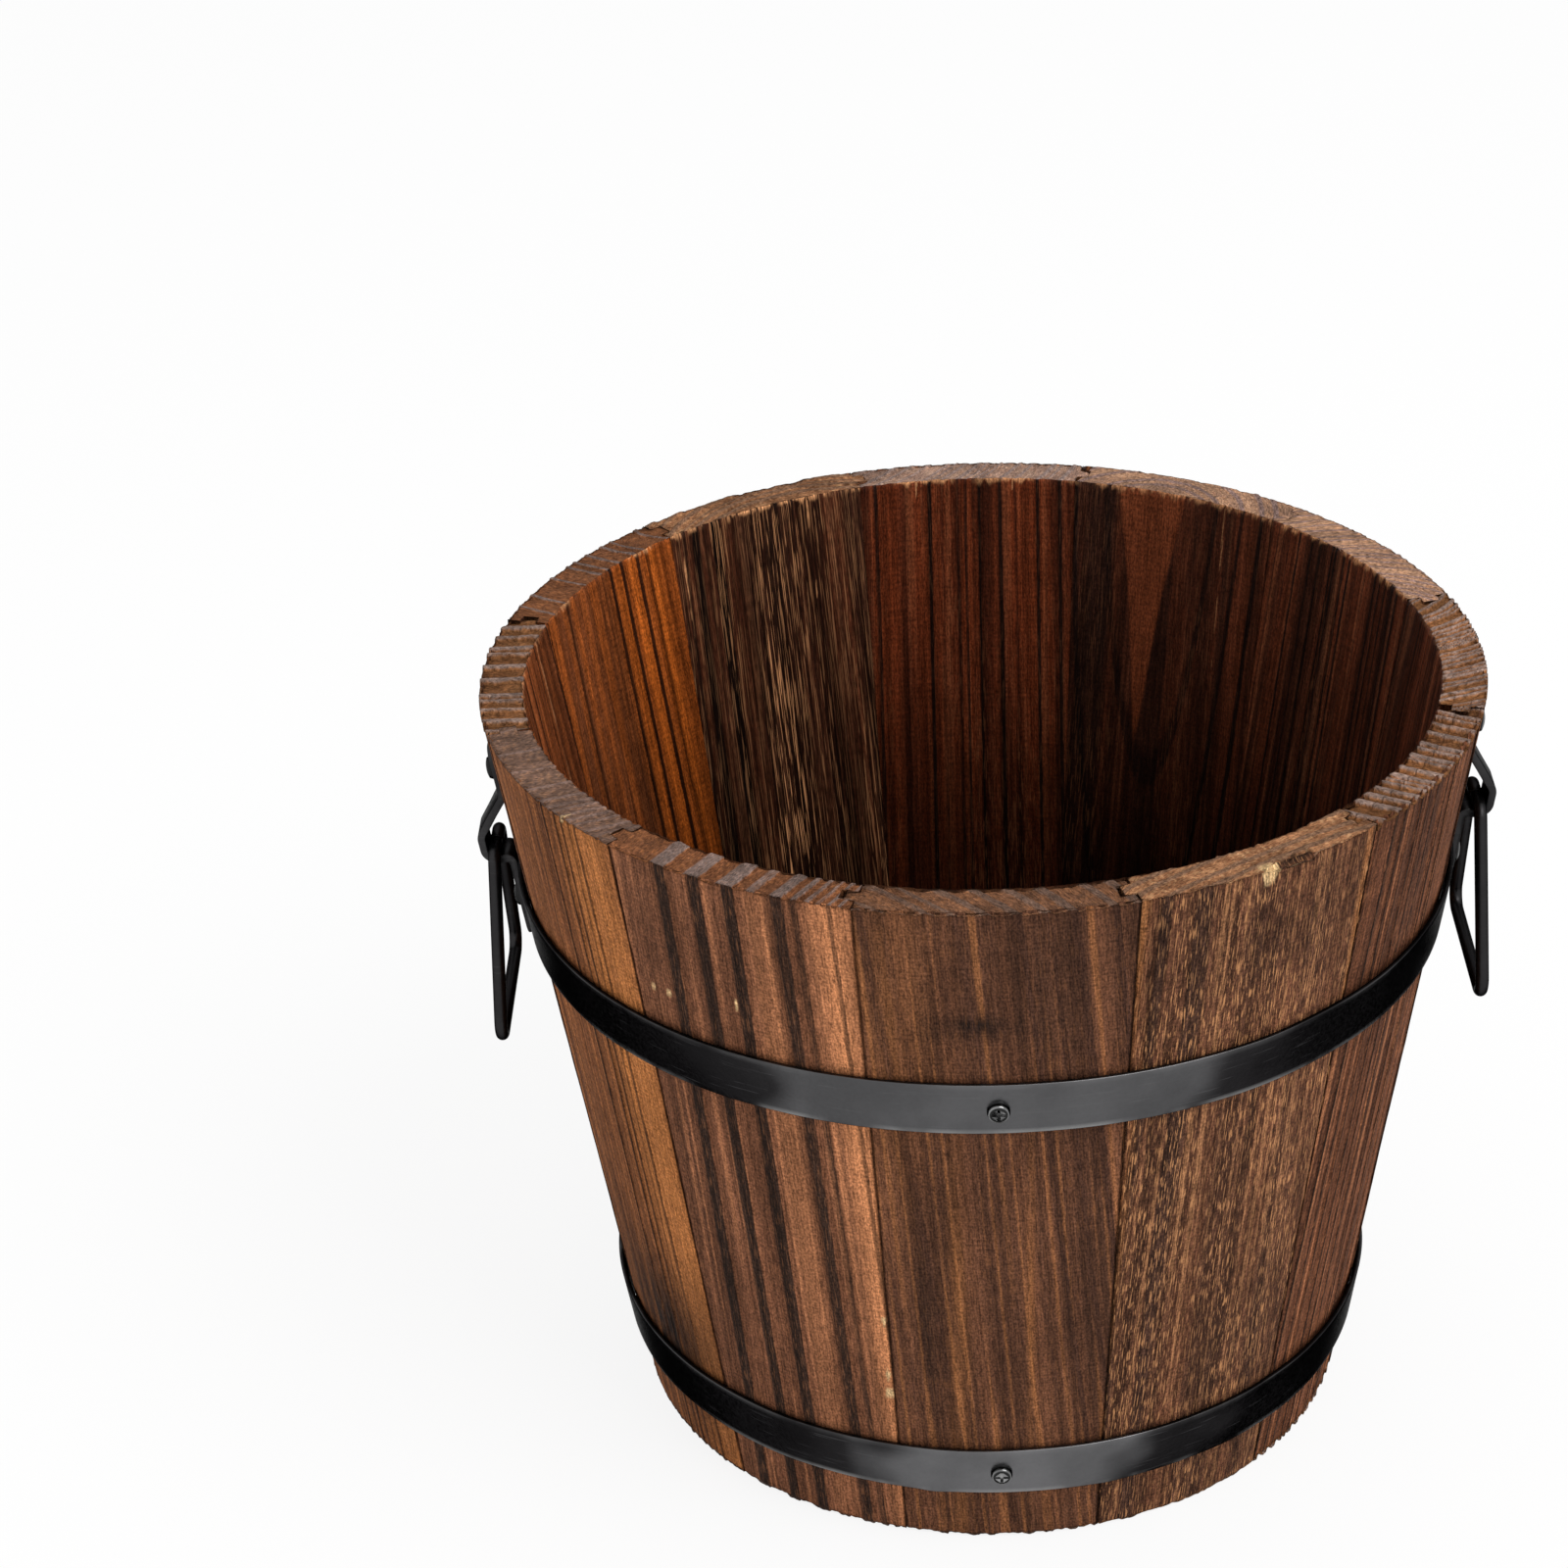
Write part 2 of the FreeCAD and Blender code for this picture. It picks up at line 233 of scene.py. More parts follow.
OUTSIDE = {
    "orange": tones(GOLD, (140, 87, 53), (110, 66, 40), (56, 35, 24)),
    "striped": tones(COPPER, (124, 80, 57), (103, 66, 47), (50, 35, 28)),
    "plain": tones(GOLD, (108, 70, 50), (86, 56, 41), (72, 47, 36)),
    "flecked": tones(TAN, (102, 65, 46), (82, 53, 38), (66, 44, 34)),
    "ridged": tones(COPPER, (112, 69, 47), (88, 54, 38), (38, 25, 19)),
}
INSIDE = {
    "amber": tones(GOLD, (182, 92, 32), (138, 68, 26), (46, 22, 11)),
    "tawny": tones(GOLD, (142, 76, 40), (106, 56, 31), (46, 24, 14)),
    "soot": tones(SAND, (86, 46, 29), (50, 27, 18), (22, 12, 9)),
    "chestnut": tones(COPPER, (108, 48, 24), (70, 31, 17), (32, 16, 11)),
    "umber": tones(COPPER, (86, 42, 25), (51, 26, 17), (26, 14, 11)),
}
RIM = {
    "bars": tones(GOLD, (142, 94, 60), (158, 108, 70), (140, 118, 108)),
    "grey": tones(TAN, (122, 94, 80), (108, 84, 72), (128, 104, 94)),
    "bands": tones(GOLD, (136, 86, 56), (122, 78, 52), (124, 104, 96)),
    "brown": tones(GOLD, (134, 92, 66), (116, 81, 60), (108, 84, 71)),
    "gold": tones(STRAW, (172, 120, 84), (140, 94, 64), (130, 96, 74)),
    "pale": tones(GOLD, (184, 150, 130), (160, 128, 112), (150, 128, 120)),
    "smooth": tones(GOLD, (176, 136, 108), (158, 122, 100), (138, 112, 104)),
}


@dataclass(frozen=True)
class Stave:
    """How one stave's timber was cut, finished and fitted.

    The pith is the tree's middle, across the stave and under its outside. A ring's end is
    (across, strength), for rings that aren't left to chance. A stain is (across, up, half width,
    half height, colour, amount). A flame is (across, height of its tip, half width at the rim,
    colour), on the inside. A chip is (across, up, half width, half height, depth, colour), in the
    outside. A notch is (across, half width, depth), through the whole rim.
    """

    # The names of its surfaces' colours
    outside: str
    inside: str
    rim: str
    # Yearly rings: the pith, a ring's mean width, the rings' ends, and a hard line's width on the
    # faces and on the ends, where None is RIM_HARD_SHARE times that on the faces
    pith: tuple
    ring: float
    ends: tuple = ()
    hard: float = 1.4
    rim_hard: float = None
    # How far the grain drifts, arches and waves
    drift: float = 0.0
    arch: float = 0.0
    wave: float = 0.8
    # How deep the soft wood is brushed out
    relief: float = 0.35
    rim_relief: float = 0.7
    # How strong its flecks, streaks and crumbs are
    flecks: float = 0.15
    inside_flecks: float = 0.05
    streak: float = 0.7
    crumbs: float = 1.0
    # Inside: how the grain is narrowed and lengthened, how much painted shade darkens it further
    # down, and how frayed it is
    inside_grain: tuple = (1.25, 1.25)
    painted_shade: float = 0.7
    fray: float = 0.1
    # How it is fitted: below the rim, behind the wall's face, with room at its sides and at the
    # tongue's tip, and worn at the rim's joints
    drop: float = 0.1
    sunk: float = 0.15
    gap: float = 0.02
    tip: float = 0.02
    worn: float = 0.05
    # Marks in single places
    stains: tuple = ()
    inside_stains: tuple = ()
    flames: tuple = ()
    chips: tuple = ()
    notches: tuple = ()


# From the front stave round toward the right handle
STAVE_LOOKS = (
    Stave("plain", "umber", "brown", (-64, -46), 6.0, hard=1.8, drift=0.07, arch=0.05, relief=0.2,
          flecks=0.1, streak=0.35, drop=0.5, sunk=0.35, tip=0.8, worn=0.4,
          stains=((-7, 201, 11, 3.2, SOOT, 1.0), (-14, 197, 16, 2.0, SOOT, 0.5),
                  (14, 215, 9, 40, SOOT, 0.35), (-28, 200, 8, 60, GOLD, 0.2),
                  (-12, 60, 2.5, 90, GOLD, 0.3), (9, 90, 1.2, 60, GOLD, 0.4),
                  (24, 110, 10, 70, SOOT, 0.3), (-21, 90, 4, 45, SOOT, 0.5))),
    Stave("flecked", "umber", "gold", (10, -90), 5.0, relief=0.2, rim_relief=0.4, flecks=0.85,
          streak=0.5, drop=0.0, gap=0.12, worn=0.3,
          stains=((-38, 190, 1.4, 90, GOLD, 0.9), (-33, 90, 1.4, 60, GOLD, 0.9),
                  (37, 170, 1.4, 90, GOLD, 0.7), (10, 212, 14, 12, SOOT, 0.45),
                  (14, 60, 16, 28, SOOT, 0.5)),
          # The first chip's dark colour is a painted shadow under the broken-off rim edge
          chips=((9, 240, 7.5, 2.0, 1.6, SHADE), (0, 240, 3.2, 6.5, 0.9, STRAW))),
    Stave("ridged", "umber", "bars", (120, 8), 4.6, hard=1.1, rim_hard=2.2, relief=0.45,
          rim_relief=1.9, drop=0.5, sunk=0.5, worn=0.4),
    Stave("ridged", "umber", "bars", (70, 45), 3.0, hard=0.9, rim_hard=1.4, rim_relief=1.5),
    Stave("plain", "umber", "smooth", (-60, 50), 3.2, hard=0.9, relief=0.3, rim_relief=0.3,
          crumbs=0.3, painted_shade=0.85, fray=0.6, drop=0.2, inside_stains=((37, 170, 0.9, 110, TAN, 1.0),)),
    Stave("orange", "umber", "smooth", (5, 42), 8.0, arch=0.1, relief=0.2, rim_relief=0.3,
          crumbs=0.2, painted_shade=0.85, fray=0.4,
          inside_stains=((-12, 190, 9, 90, EMBER, 0.7), (25, 190, 5, 90, EMBER, 0.7)),
          flames=((9, 158, 11, FLAME),), notches=((37.5, 2.6, 2.4),)),
    Stave("striped", "chestnut", "pale", (75, -40), 4.6, hard=1.1, relief=0.3, rim_relief=0.6,
          painted_shade=0.8, fray=0.8, drop=0.3, worn=0.5),
    Stave("flecked", "soot", "gold", (-10, 80), 3.4, rim_relief=0.8, inside_flecks=0.9,
          inside_grain=(1.35, 3.2), painted_shade=0.6, fray=1.0),
    Stave("plain", "amber", "bands", (-46, 7), 9.0, hard=1.6, rim_hard=1.6, painted_shade=0.5, fray=0.8,
          inside_stains=((20, 150, 21, 250, TAWNY, 1.0), (-2, 150, 4, 250, SHADE, 0.9))),
    Stave("ridged", "tawny", "bars", (-110, 6), 6.4, hard=1.3, rim_hard=2.0, relief=0.5,
          rim_relief=2.0, painted_shade=0.5, fray=0.5),
    Stave("orange", "amber", "grey", (-300, 60), 12.0, hard=1.2, drift=-0.02, relief=0.3,
          rim_relief=0.4, streak=0.5,
          ends=((-34, 0.2), (-20, 0.4), (-8, 0.2), (3, 0.4), (11, 0.9), (15, 0.5), (18, 1),
                (21.5, 0.8), (25, 0.6), (28, 1), (33, 0.4), (37, 0.3)),
          stains=((26, 150, 11, 260, HONEY, 0.9), (6, 44, 34, 34, SOOT, 1.0)),
          chips=((17.9, 239, 0.8, 1.6, 0.6, STRAW),)),
    Stave("striped", "umber", "bands", (-300, 20), 10.0, hard=3.6, rim_hard=5.5, wave=0.4,
          relief=0.4, rim_relief=0.8, streak=0.45, tip=1.2,
          ends=((-60, 0), (-17.2, 1), (-5.5, 1), (5.2, 1), (12, 0.3), (20.2, 0.75), (24.5, 0.6),
                (28, 0.4), (31, 0.2), (34, 0.7), (37, 0.3)),
          stains=((33, 150, 6, 260, COPPER, 1.0), (10.5, 130, 3.5, 140, COPPER, 0.4),
                  (-30, 120, 9, 200, SOOT, 0.15)),
          chips=((-30.6, 193, 0.8, 1.2, 0.4, STRAW), (-24.7, 193, 1.0, 1.2, 0.4, STRAW),
                 (-0.3, 197, 0.7, 1.4, 0.4, STRAW), (30.5, 65, 1.0, 2.4, 0.35, STRAW),
                 (30.4, 57.5, 1.6, 2.0, 0.35, STRAW), (31.6, 87, 0.8, 1.4, 0.3, STRAW))),
)


# Yearly rings

RING_SEED = 100
RING_COUNT = 400
RING_WIDTHS = (0.35, 1.3)
RING_BOLDNESS = (0.35, 0.65)
WAVE_LENGTH = 90.0
WAVE_WIDTH = 120.0
WANDER = 0.9
WANDER_WIDTH = 9.0
WANDER_LENGTH = 160.0
PITH_SHIFT = 3.7
RIM_HARD_SHARE = 1.5
LARGEST_HARD_SHARE = 0.5
END_SURENESS = (0.5, 0.5)
# A hard line's soft side, as shares of its width, and its sharp side in millimetres
FADE_START = 1.5
FADE_START_ON_END = 1.2
FADE_END = 0.7
SHARP_SIDE = 0.2


def ring_ends(stave, number):
    """Distances from the pith at which the yearly rings end, with how bold each line is."""
    chance = np.random.default_rng(RING_SEED + number)
    ends = np.cumsum(stave.ring * lifted(chance.random(RING_COUNT), *RING_WIDTHS))
    bold = lifted(chance.random(RING_COUNT), *RING_BOLDNESS)
    if stave.ends:
        places, strengths = np.array(stave.ends, float).T
        ends = np.concatenate((places - stave.pith[0], places[-1] - stave.pith[0] + ends))
        bold = np.concatenate((strengths, bold))
    return np.concatenate(((0,), ends)), np.concatenate(((0,), bold))


def from_pith(stave, number, across, depth, up):
    """How far each point is from the pith, and how far along its ring."""
    shift = PITH_SHIFT * number
    above = up - HEIGHT / 2
    waves = noise(up / WAVE_LENGTH + shift, across / WAVE_WIDTH, across * 0 + shift)
    bend = stave.wave * (waves - 0.5) * 2
    along = across + bend + stave.drift * above - stave.pith[0]
    height = depth - stave.pith[1] + stave.arch * above
    distance = np.hypot(along, height)
    wander = noise(along / WANDER_WIDTH, depth / WANDER_WIDTH + shift, up / WANDER_LENGTH) - 0.5
    return distance + WANDER * wander, np.arctan2(height, along) * np.median(distance)


def hard_lines(stave, number, distance):
    """From 0 in a ring's soft wood to 1 in the hard wood at its end, surer on the end grain."""
    on_end = LATTICE.ends
    ends, bold = ring_ends(stave, number)
    ring = np.clip(np.searchsorted(ends, distance), 1, len(ends) - 1)
    left = ends[ring] - distance
    hard = np.where(on_end, stave.rim_hard or RIM_HARD_SHARE * stave.hard, stave.hard)
    wide = np.minimum(hard, LARGEST_HARD_SHARE * (ends[ring] - ends[ring - 1]))
    surer = lifted(bold[ring], *END_SURENESS)
    sure = np.where(on_end & (bold[ring] > 0), surer, bold[ring])
    start = np.where(on_end, FADE_START_ON_END, FADE_START)
    return sure * ramp(left, start * wide, FADE_END * wide) * ramp(left, 0, SHARP_SIDE)


# Shape and colours of a stave

# Noise is so wide across the grain, so long along it, and shifted to differ from the others
COARSE_GRAIN = (4, 90)
FIBRE_GRAIN = (0.9, 30)
RIPPLE_GRAIN = (2.5, 8)
ROUGH_GRAIN = (1.2, 3)
COLOUR_FIBRES = ((1.0, 130), (3.0, 190, 2.0), (8, 300, 4.0))
FLAME_EDGE = (5, 40, 6.0)
SPLINTER_LENGTHS = (1.5, 300, 7.0)
SPLINTERS = (1.1, 9, 7.0)
SPLINTER_CLUMPS = (9, 300, 8.0)
FLECK_CLUMPS = (9, 400, 9.0)
STAVE_SHIFT = 5.3
GRAIN_SHIFT = 97.0

# How near an edge the columns lean over for the tongue and the groove, as a share of the width
TONGUE_REACH = 0.12

# Depths and widths of relief and wear, with pairs that lift a noise to a share
FACE_BRUSHED = (0.5, 1.0)
FIBRE_DEPTH = 0.16
RIPPLE_DEPTH = 0.12
JOINT_DEPTH = 0.5
JOINT_WIDTH = 0.8
JOINT_WORN = (0.3, 1.0)
NICK_DEPTHS = (0.2, 0.9)
NICK_WIDTH = 1.6
NICK_LENGTH = 2.0
FOOT_EDGE_DEPTH = 0.7
FOOT_EDGE_LENGTH = 1.6
CHIP_FADE = (5.0, 2.5)
CHIP_RAGGED = (0.6, 0.8)
CHIP_DEPTH_RANGE = (0.25, 0.7)
CHIP_COLOUR_RANGE = (0.38, 0.55)
RIM_LEVEL = 0.4
END_BRUSHED = (0.6, 0.8)
HATCH_DEPTH = 0.45
HATCH_WIDTH = 0.9
HATCH_LENGTH = 5.0
CRUMB_DEPTH = 0.15
RIM_EDGE_DEPTH = 0.5
RIM_EDGE_WIDTH = 1.2
RIM_EDGE_WORN = (0.1, 1.0)
RIM_JOINT_WIDTH = 0.9
INSIDE_RELIEF = 0.7

# How colours are laid on, with the ranges over which they come in
TONE_RANGE = (0.3, 0.7)
STREAK_RANGE = (0.2, 0.8)
GLINT_RANGE = (0.66, 0.8)
OUTSIDE_GLINT = 0.3
INSIDE_GLINT = 0.06
RIM_GLINT = 0.2
RIM_STREAK = 0.3
RIM_FLECKS = 0.15
FLECK_CLUMP_RANGE = (0.35, 0.65)
FLECK_STRENGTHS = (0.25, 0.9)
STAIN_STREAKS = (0.6, 0.6)
HARD_STAIN = 0.25
HARD_FLAME = 0.7
FLAME_STRAY = 2.0
FLAME_BLUR = 0.6
JOINT_SHADE = 0.55
JOINT_SHADE_RANGE = (0.7, 0.2)
END_LIGHT = 1.15
END_DARK = 0.55
END_SHADE = 0.35
# Heights over which the inside's painted shade comes in, from none above to full below
PAINTED_SHADE_RANGE = (225.0, 90.0)
SPLINTER_MOST = 4.0
SPLINTER_LEAST = 0.6
SPLINTER_RANGE = (0.3, 0.5)
SPLINTER_CLUMP_RANGE = (0.25, 0.5)
# How the material's noise is scaled on an end, across and along the rings
END_GRAIN = (1.2, 0.35)


def painted(colours, fibres, streak, glint):
    """The soft and the hard wood's colours at each point, with long fibres through them."""
    first, second, line, fleck = colours
    thin, middling, wide = fibres
    soft = mixed(first, second, ramp(0.5 * middling + 0.5 * wide, *TONE_RANGE))
    light = (1 + streak * (ramp(thin, *STREAK_RANGE) - 0.5))[:, None]
    soft = mixed(soft * light, fleck, glint * ramp(thin, *GLINT_RANGE))
    return soft, line * light


def by_side(end, inside, outside):
    """What each vertex takes: an end's colour, the inside's or the outside's."""
    ends, inner = LATTICE.ends[:, None], LATTICE.inner[:, None]
    return np.where(ends, end, np.where(inner, inside, outside))


class StaveShape:
    """The points of a stave once its relief is cut, and what is painted on them."""

    def __init__(self, number):
        self.number = number
        self.stave = stave = STAVE_LOOKS[number]
        self.outside, self.inside = OUTSIDE[stave.outside], INSIDE[stave.inside]
        self.rim = RIM[stave.rim]
        self.up = LATTICE.level
        self.place_points()
        self.along = self.across + stave.drift * (self.up - HEIGHT / 2)
        self.depth = wall_radius(self.up) - self.radius
        self.distance, self.turn = from_pith(stave, number, self.across, self.depth, self.up)
        self.lines = hard_lines(stave, number, self.distance)
        self.shift = STAVE_SHIFT * number
        self.under = HEIGHT - self.up
        self.from_side = np.minimum(LATTICE.column, 1 - LATTICE.column) * self.half_width * 2
        self.rough = self.noise(*ROUGH_GRAIN)
        self.cut_relief()

    def noise(self, across, up, shift=0.0):
        """Noise with bumps so wide across the grain and so long along it."""
        shift = shift + self.shift
        return noise(self.along / across + shift, self.depth / across + shift, self.up / up)

    def place_points(self):
        """Each point's radius and its place across the stave."""
        row, column = LATTICE.row, LATTICE.column
        outer = wall_radius(self.up)
        in_croze = (self.up > CROZE_LOW) & (self.up < CROZE_HIGH)
        inner = np.where(in_croze, CROZE_RADIUS, outer - THICKNESS)
        self.radius = inner + row * (outer - inner)
        self.half_width = HALF_STAVE * self.radius - self.stave.gap
        in_tongue = np.abs(row - 0.5) * THICKNESS < (TONGUE_WIDTH + GROOVE_WIDTH) / 4
        near_tongue = np.clip(1 - column / TONGUE_REACH, 0, 1) ** 2
        near_groove = np.clip(1 - (1 - column) / TONGUE_REACH, 0, 1) ** 2
        groove_depth = TONGUE_LENGTH + self.stave.tip
        lean = TONGUE_LENGTH * near_tongue + groove_depth * near_groove
        self.across = self.half_width * (2 * column - 1) - in_tongue * lean
        self.angle = 2 * HALF_STAVE * self.number + self.across / self.radius

    def cut_relief(self):
        """Lowers the soft wood, wears the edges and takes the chips out."""
        coarse = self.noise(*COARSE_GRAIN)
        chips = self.chip_loss()
        face = self.face_loss(coarse) + chips
        self.end = self.end_loss(coarse, chips)
        self.radius = self.radius - LATTICE.on_outer * (self.stave.sunk + face)
        self.radius = self.radius + LATTICE.on_inner * face * INSIDE_RELIEF
        lowered = LATTICE.on_rim * (self.stave.drop + self.end)
        self.level = self.up - lowered + LATTICE.on_foot * self.end

    def chip_loss(self):
        """How deep the chips go, keeping where each one's colour shows."""
        self.chipped = []
        loss = 0
        for *place, deep, tint in self.stave.chips:
            mask = spread(self.across, self.up, place) * ramp(self.depth, *CHIP_FADE)
            mask = mask * lifted(self.rough, *CHIP_RAGGED)
            self.chipped.append((ramp(mask, *CHIP_COLOUR_RANGE), tint))
            loss = loss + deep * ramp(mask, *CHIP_DEPTH_RANGE)
        return loss

    def face_loss(self, coarse):
        """How far the inside and outside are brushed and worn away."""
        loss = self.stave.relief * (1 - self.lines) * lifted(coarse, *FACE_BRUSHED)
        loss += FIBRE_DEPTH * self.noise(*FIBRE_GRAIN)
        loss += RIPPLE_DEPTH * self.noise(*RIPPLE_GRAIN)
        loss += JOINT_DEPTH * ramp(self.from_side, JOINT_WIDTH, 0) * lifted(self.rough, *JOINT_WORN)
        nicks = noise(self.across / NICK_WIDTH + self.shift, self.up * 0, self.depth * 0)
        loss += ramp(self.under, NICK_LENGTH, 0) * lifted(nicks ** 2, *NICK_DEPTHS)
        return loss + FOOT_EDGE_DEPTH * ramp(self.up, FOOT_EDGE_LENGTH, 0)

    def end_loss(self, coarse, chips):
        """How far the end grain is brushed, worn and chipped away."""
        across_rings, along_rings = self.distance / HATCH_WIDTH, self.turn / HATCH_LENGTH
        hatch = noise(across_rings, along_rings, self.depth * 0 + self.shift)
        softness = 1 - self.lines - RIM_LEVEL
        loss = self.stave.rim_relief * softness * lifted(coarse, *END_BRUSHED)
        loss = np.maximum(loss + HATCH_DEPTH * hatch + CRUMB_DEPTH * self.rough, 0)
        from_face = np.minimum(LATTICE.row, 1 - LATTICE.row) * THICKNESS
        edge = RIM_EDGE_DEPTH * ramp(from_face, RIM_EDGE_WIDTH, 0)
        loss += edge * lifted(self.rough, *RIM_EDGE_WORN)
        loss += self.stave.worn * ramp(self.from_side, RIM_JOINT_WIDTH, 0) + chips
        for middle, half_width, deep in self.stave.notches:
            loss += deep * ramp(np.abs(self.across - middle), half_width, 0)
        return loss

    def points(self):
        """Where every vertex is."""
        x, y = self.radius * np.sin(self.angle), -self.radius * np.cos(self.angle)
        return np.stack((x, y, self.level), axis=-1)

    def stained(self, colours, stains, fibres, glint):
        """A surface's soft and hard colours with its stains."""
        soft, hard = painted(colours, fibres, self.stave.streak, glint)
        for *place, tint, amount in stains:
            mask = amount * spread(self.across, self.up, place)
            mask = np.clip(mask * lifted(fibres[1], *STAIN_STREAKS), 0, 1)
            soft, hard = mixed(soft, tint, mask), mixed(hard, tint, mask * HARD_STAIN)
        return soft, hard

    def outside_colours(self, fibres):
        """The soft and hard colours of the outside, darker along the joints."""
        soft, hard = self.stained(self.outside, self.stave.stains, fibres, OUTSIDE_GLINT)
        joint = (1 - JOINT_SHADE * ramp(self.from_side, *JOINT_SHADE_RANGE))[:, None]
        return soft * joint, hard * joint

    def inside_colours(self, fibres):
        """The soft and hard colours of the inside, frayed at the rim and darker further down with
        painted shade.
        """
        stave = self.stave
        soft, hard = self.stained(self.inside, stave.inside_stains, fibres, INSIDE_GLINT)
        for middle, tip, half_width, tint in stave.flames:
            half = half_width * (self.up - tip) / (HEIGHT - tip)
            half = half + FLAME_STRAY * (self.noise(*FLAME_EDGE) - 0.5)
            flame = ramp(half - np.abs(self.across - middle), -FLAME_BLUR, FLAME_BLUR)
            soft, hard = mixed(soft, tint, flame), mixed(hard, tint, HARD_FLAME * flame)
        frayed = ramp(self.under, SPLINTER_MOST * self.noise(*SPLINTER_LENGTHS), SPLINTER_LEAST)
        frayed = frayed * ramp(self.noise(*SPLINTERS), *SPLINTER_RANGE)
        clumps = ramp(self.noise(*SPLINTER_CLUMPS), *SPLINTER_CLUMP_RANGE)
        frayed = stave.fray * frayed * clumps
        # Painted shade: the inside grows darker toward the bottom
        painted_shade = (1 - stave.painted_shade * ramp(self.up, *PAINTED_SHADE_RANGE))[:, None]
        return mixed(soft, SAND, frayed) * painted_shade, mixed(hard, SAND, frayed) * painted_shade

    def end_colours(self, fibres):
        """The soft and hard colours of the end grain, darker where it lies deep."""
        soft, hard = painted(self.rim, fibres, RIM_STREAK, RIM_GLINT)
        light = np.clip(END_LIGHT - END_SHADE * self.end, END_DARK, END_LIGHT)
        return soft * light[:, None], hard

    def colours(self):
        """The soft and the hard wood's colours at every vertex."""
        fibres = [self.noise(*size) for size in COLOUR_FIBRES]
        sides = self.end_colours(fibres), self.inside_colours(fibres), self.outside_colours(fibres)
        soft, hard = (by_side(*colours) for colours in zip(*sides))
        for mask, tint in self.chipped:
            soft, hard = mixed(soft, tint, mask), mixed(hard, tint, mask)
        return soft, hard

    def flecks(self):
        """How strong the flecks are at every vertex, in clumps on the inside."""
        clumps = ramp(self.noise(*FLECK_CLUMPS), *FLECK_CLUMP_RANGE)
        clumps = lifted(clumps, *FLECK_STRENGTHS)
        on_faces = np.where(LATTICE.inner, self.stave.inside_flecks * clumps, self.stave.flecks)
        return np.where(LATTICE.ends, RIM_FLECKS, on_faces)

    def grain(self):
        """Where the material's noise is read: along the fibres, or along the rings on an end."""
        narrow, long = self.stave.inside_grain
        first = np.where(LATTICE.inner, narrow, 1.0) * self.along
        across_rings, along_rings = END_GRAIN
        first = np.where(LATTICE.ends, across_rings * self.distance, first)
        first = first + GRAIN_SHIFT * self.number
        second = np.where(LATTICE.ends, along_rings * self.turn, self.depth)
        third = self.up / np.where(LATTICE.inner, long, 1.0)
        return np.stack((first, second, third), axis=-1)


def smooth_mesh(name, points, faces):
    """A mesh in metres from points in millimetres and lists of their numbers."""
    mesh = bpy.data.meshes.new(name)
    mesh.from_pydata((points * MM).tolist(), [], faces, shade_flat=False)
    return mesh


def store(mesh, name, values, kind="FLOAT", field="value"):
    """Stores a number for every vertex, or what another kind and field hold."""
    layer = mesh.attributes.new(name, kind, "POINT")
    layer.data.foreach_set(field, np.asarray(values, np.float32).ravel())


def store_colours(mesh, name, colours):
    """Stores an opaque colour for every vertex."""
    full = np.concatenate((colours, np.ones((len(colours), 1))), axis=1)
    store(mesh, name, full, "FLOAT_COLOR", "color")


def paint(mesh, shape):
    """Stores what the wood's material reads from a stave's mesh."""
    soft, hard = shape.colours()
    store(mesh, "line", shape.lines)
    store(mesh, "flecks", shape.flecks())
    store(mesh, "shine", LATTICE.inner)
    store(mesh, "crumbs", LATTICE.ends * shape.stave.crumbs)
    store(mesh, "grain", shape.grain(), "FLOAT_VECTOR", "vector")
    store_colours(mesh, "soft", soft)
    store_colours(mesh, "hard", hard)
    store_colours(mesh, "fleck", by_side(shape.rim[-1], shape.inside[-1], shape.outside[-1]))


def stave_mesh(number):
    """The mesh of a stave, with what its material reads from it."""
    shape = StaveShape(number)
    name = "stave_%02d_wood" % (number + 1)
    mesh = smooth_mesh(name, shape.points(), LATTICE.quads.tolist())
    layer = mesh.uv_layers.new(name="OFBake", do_init=False)
    layer.uv.foreach_set("vector", LATTICE.places.astype(np.float32).ravel())
    paint(mesh, shape)
    return mesh


# Materials

# How noise is stretched across, into and along the grain of a stave, for each millimetre
FIBRE_SCALE = (1.0, 1.0, 0.03)
FINE_SCALE = (2.2, 2.2, 0.13)
FUZZ_SCALE = (1.5, 1.5, 1.1)
PORE_SCALE = (2.4, 2.4, 0.18)
CLOUD_SCALE = (0.06, 0.06, 0.02)
SAW_SCALE = (0.12, 0.12, 1.5)
# The same for the base boards, along X and across it, and for iron, for each metre
BOARD_FIBRE_SCALE = (30, 900, 900)
BOARD_BAND_SCALE = (6, 110, 110)
SPECKLE_SCALE = (900, 900, 900)
PATCH_SCALE = (40, 40, 40)
SCRATCH_SCALE = (60, 60, 1500)
# The range that most of a noise lies in
NOISE_MIDDLE = (0.3, 0.7)

WOOD_ROUGHNESS = 0.8
INSIDE_SHINE = 0.36
WOOD_SPECULAR = 0.06
PIT_SHADE = 0.45
# How light a noise makes the wood, from where it is low to where it is high
FIBRE_LIGHT = (0.62, 1.38)
FUZZ_LIGHT = (-0.5, 0.5)
SAW_LIGHT = (0.86, 1.14)
CLOUD_LIGHT = (0.82, 1.16)
# Ranges over which hard lines, flecks, their patches and pits come in
RAGGED_LINE = (-0.12, 0.12)
LINE_RANGE = (0.2, 0.8)
FLECK_RANGE = (0.56, 0.62)
PATCH_RANGE = (0.38, 0.56)
PATCH_FLECKS = (0.4, 1.0)
PIT_RANGE = (0.43, 0.35)
FUZZ_RANGE = (0.34, 0.66)
# Pairs that lift what the mesh stores to a share or a height
COARSENESS = (0.4, 0.6)
FUZZ_STRENGTH = (0.72, -0.4)
FINE_HEIGHT = (0.6, 1.2)
FUZZ_HEIGHT = (0.5, 0.4)
FIBRE_HEIGHT = 0.6
PIT_HEIGHT = -0.5

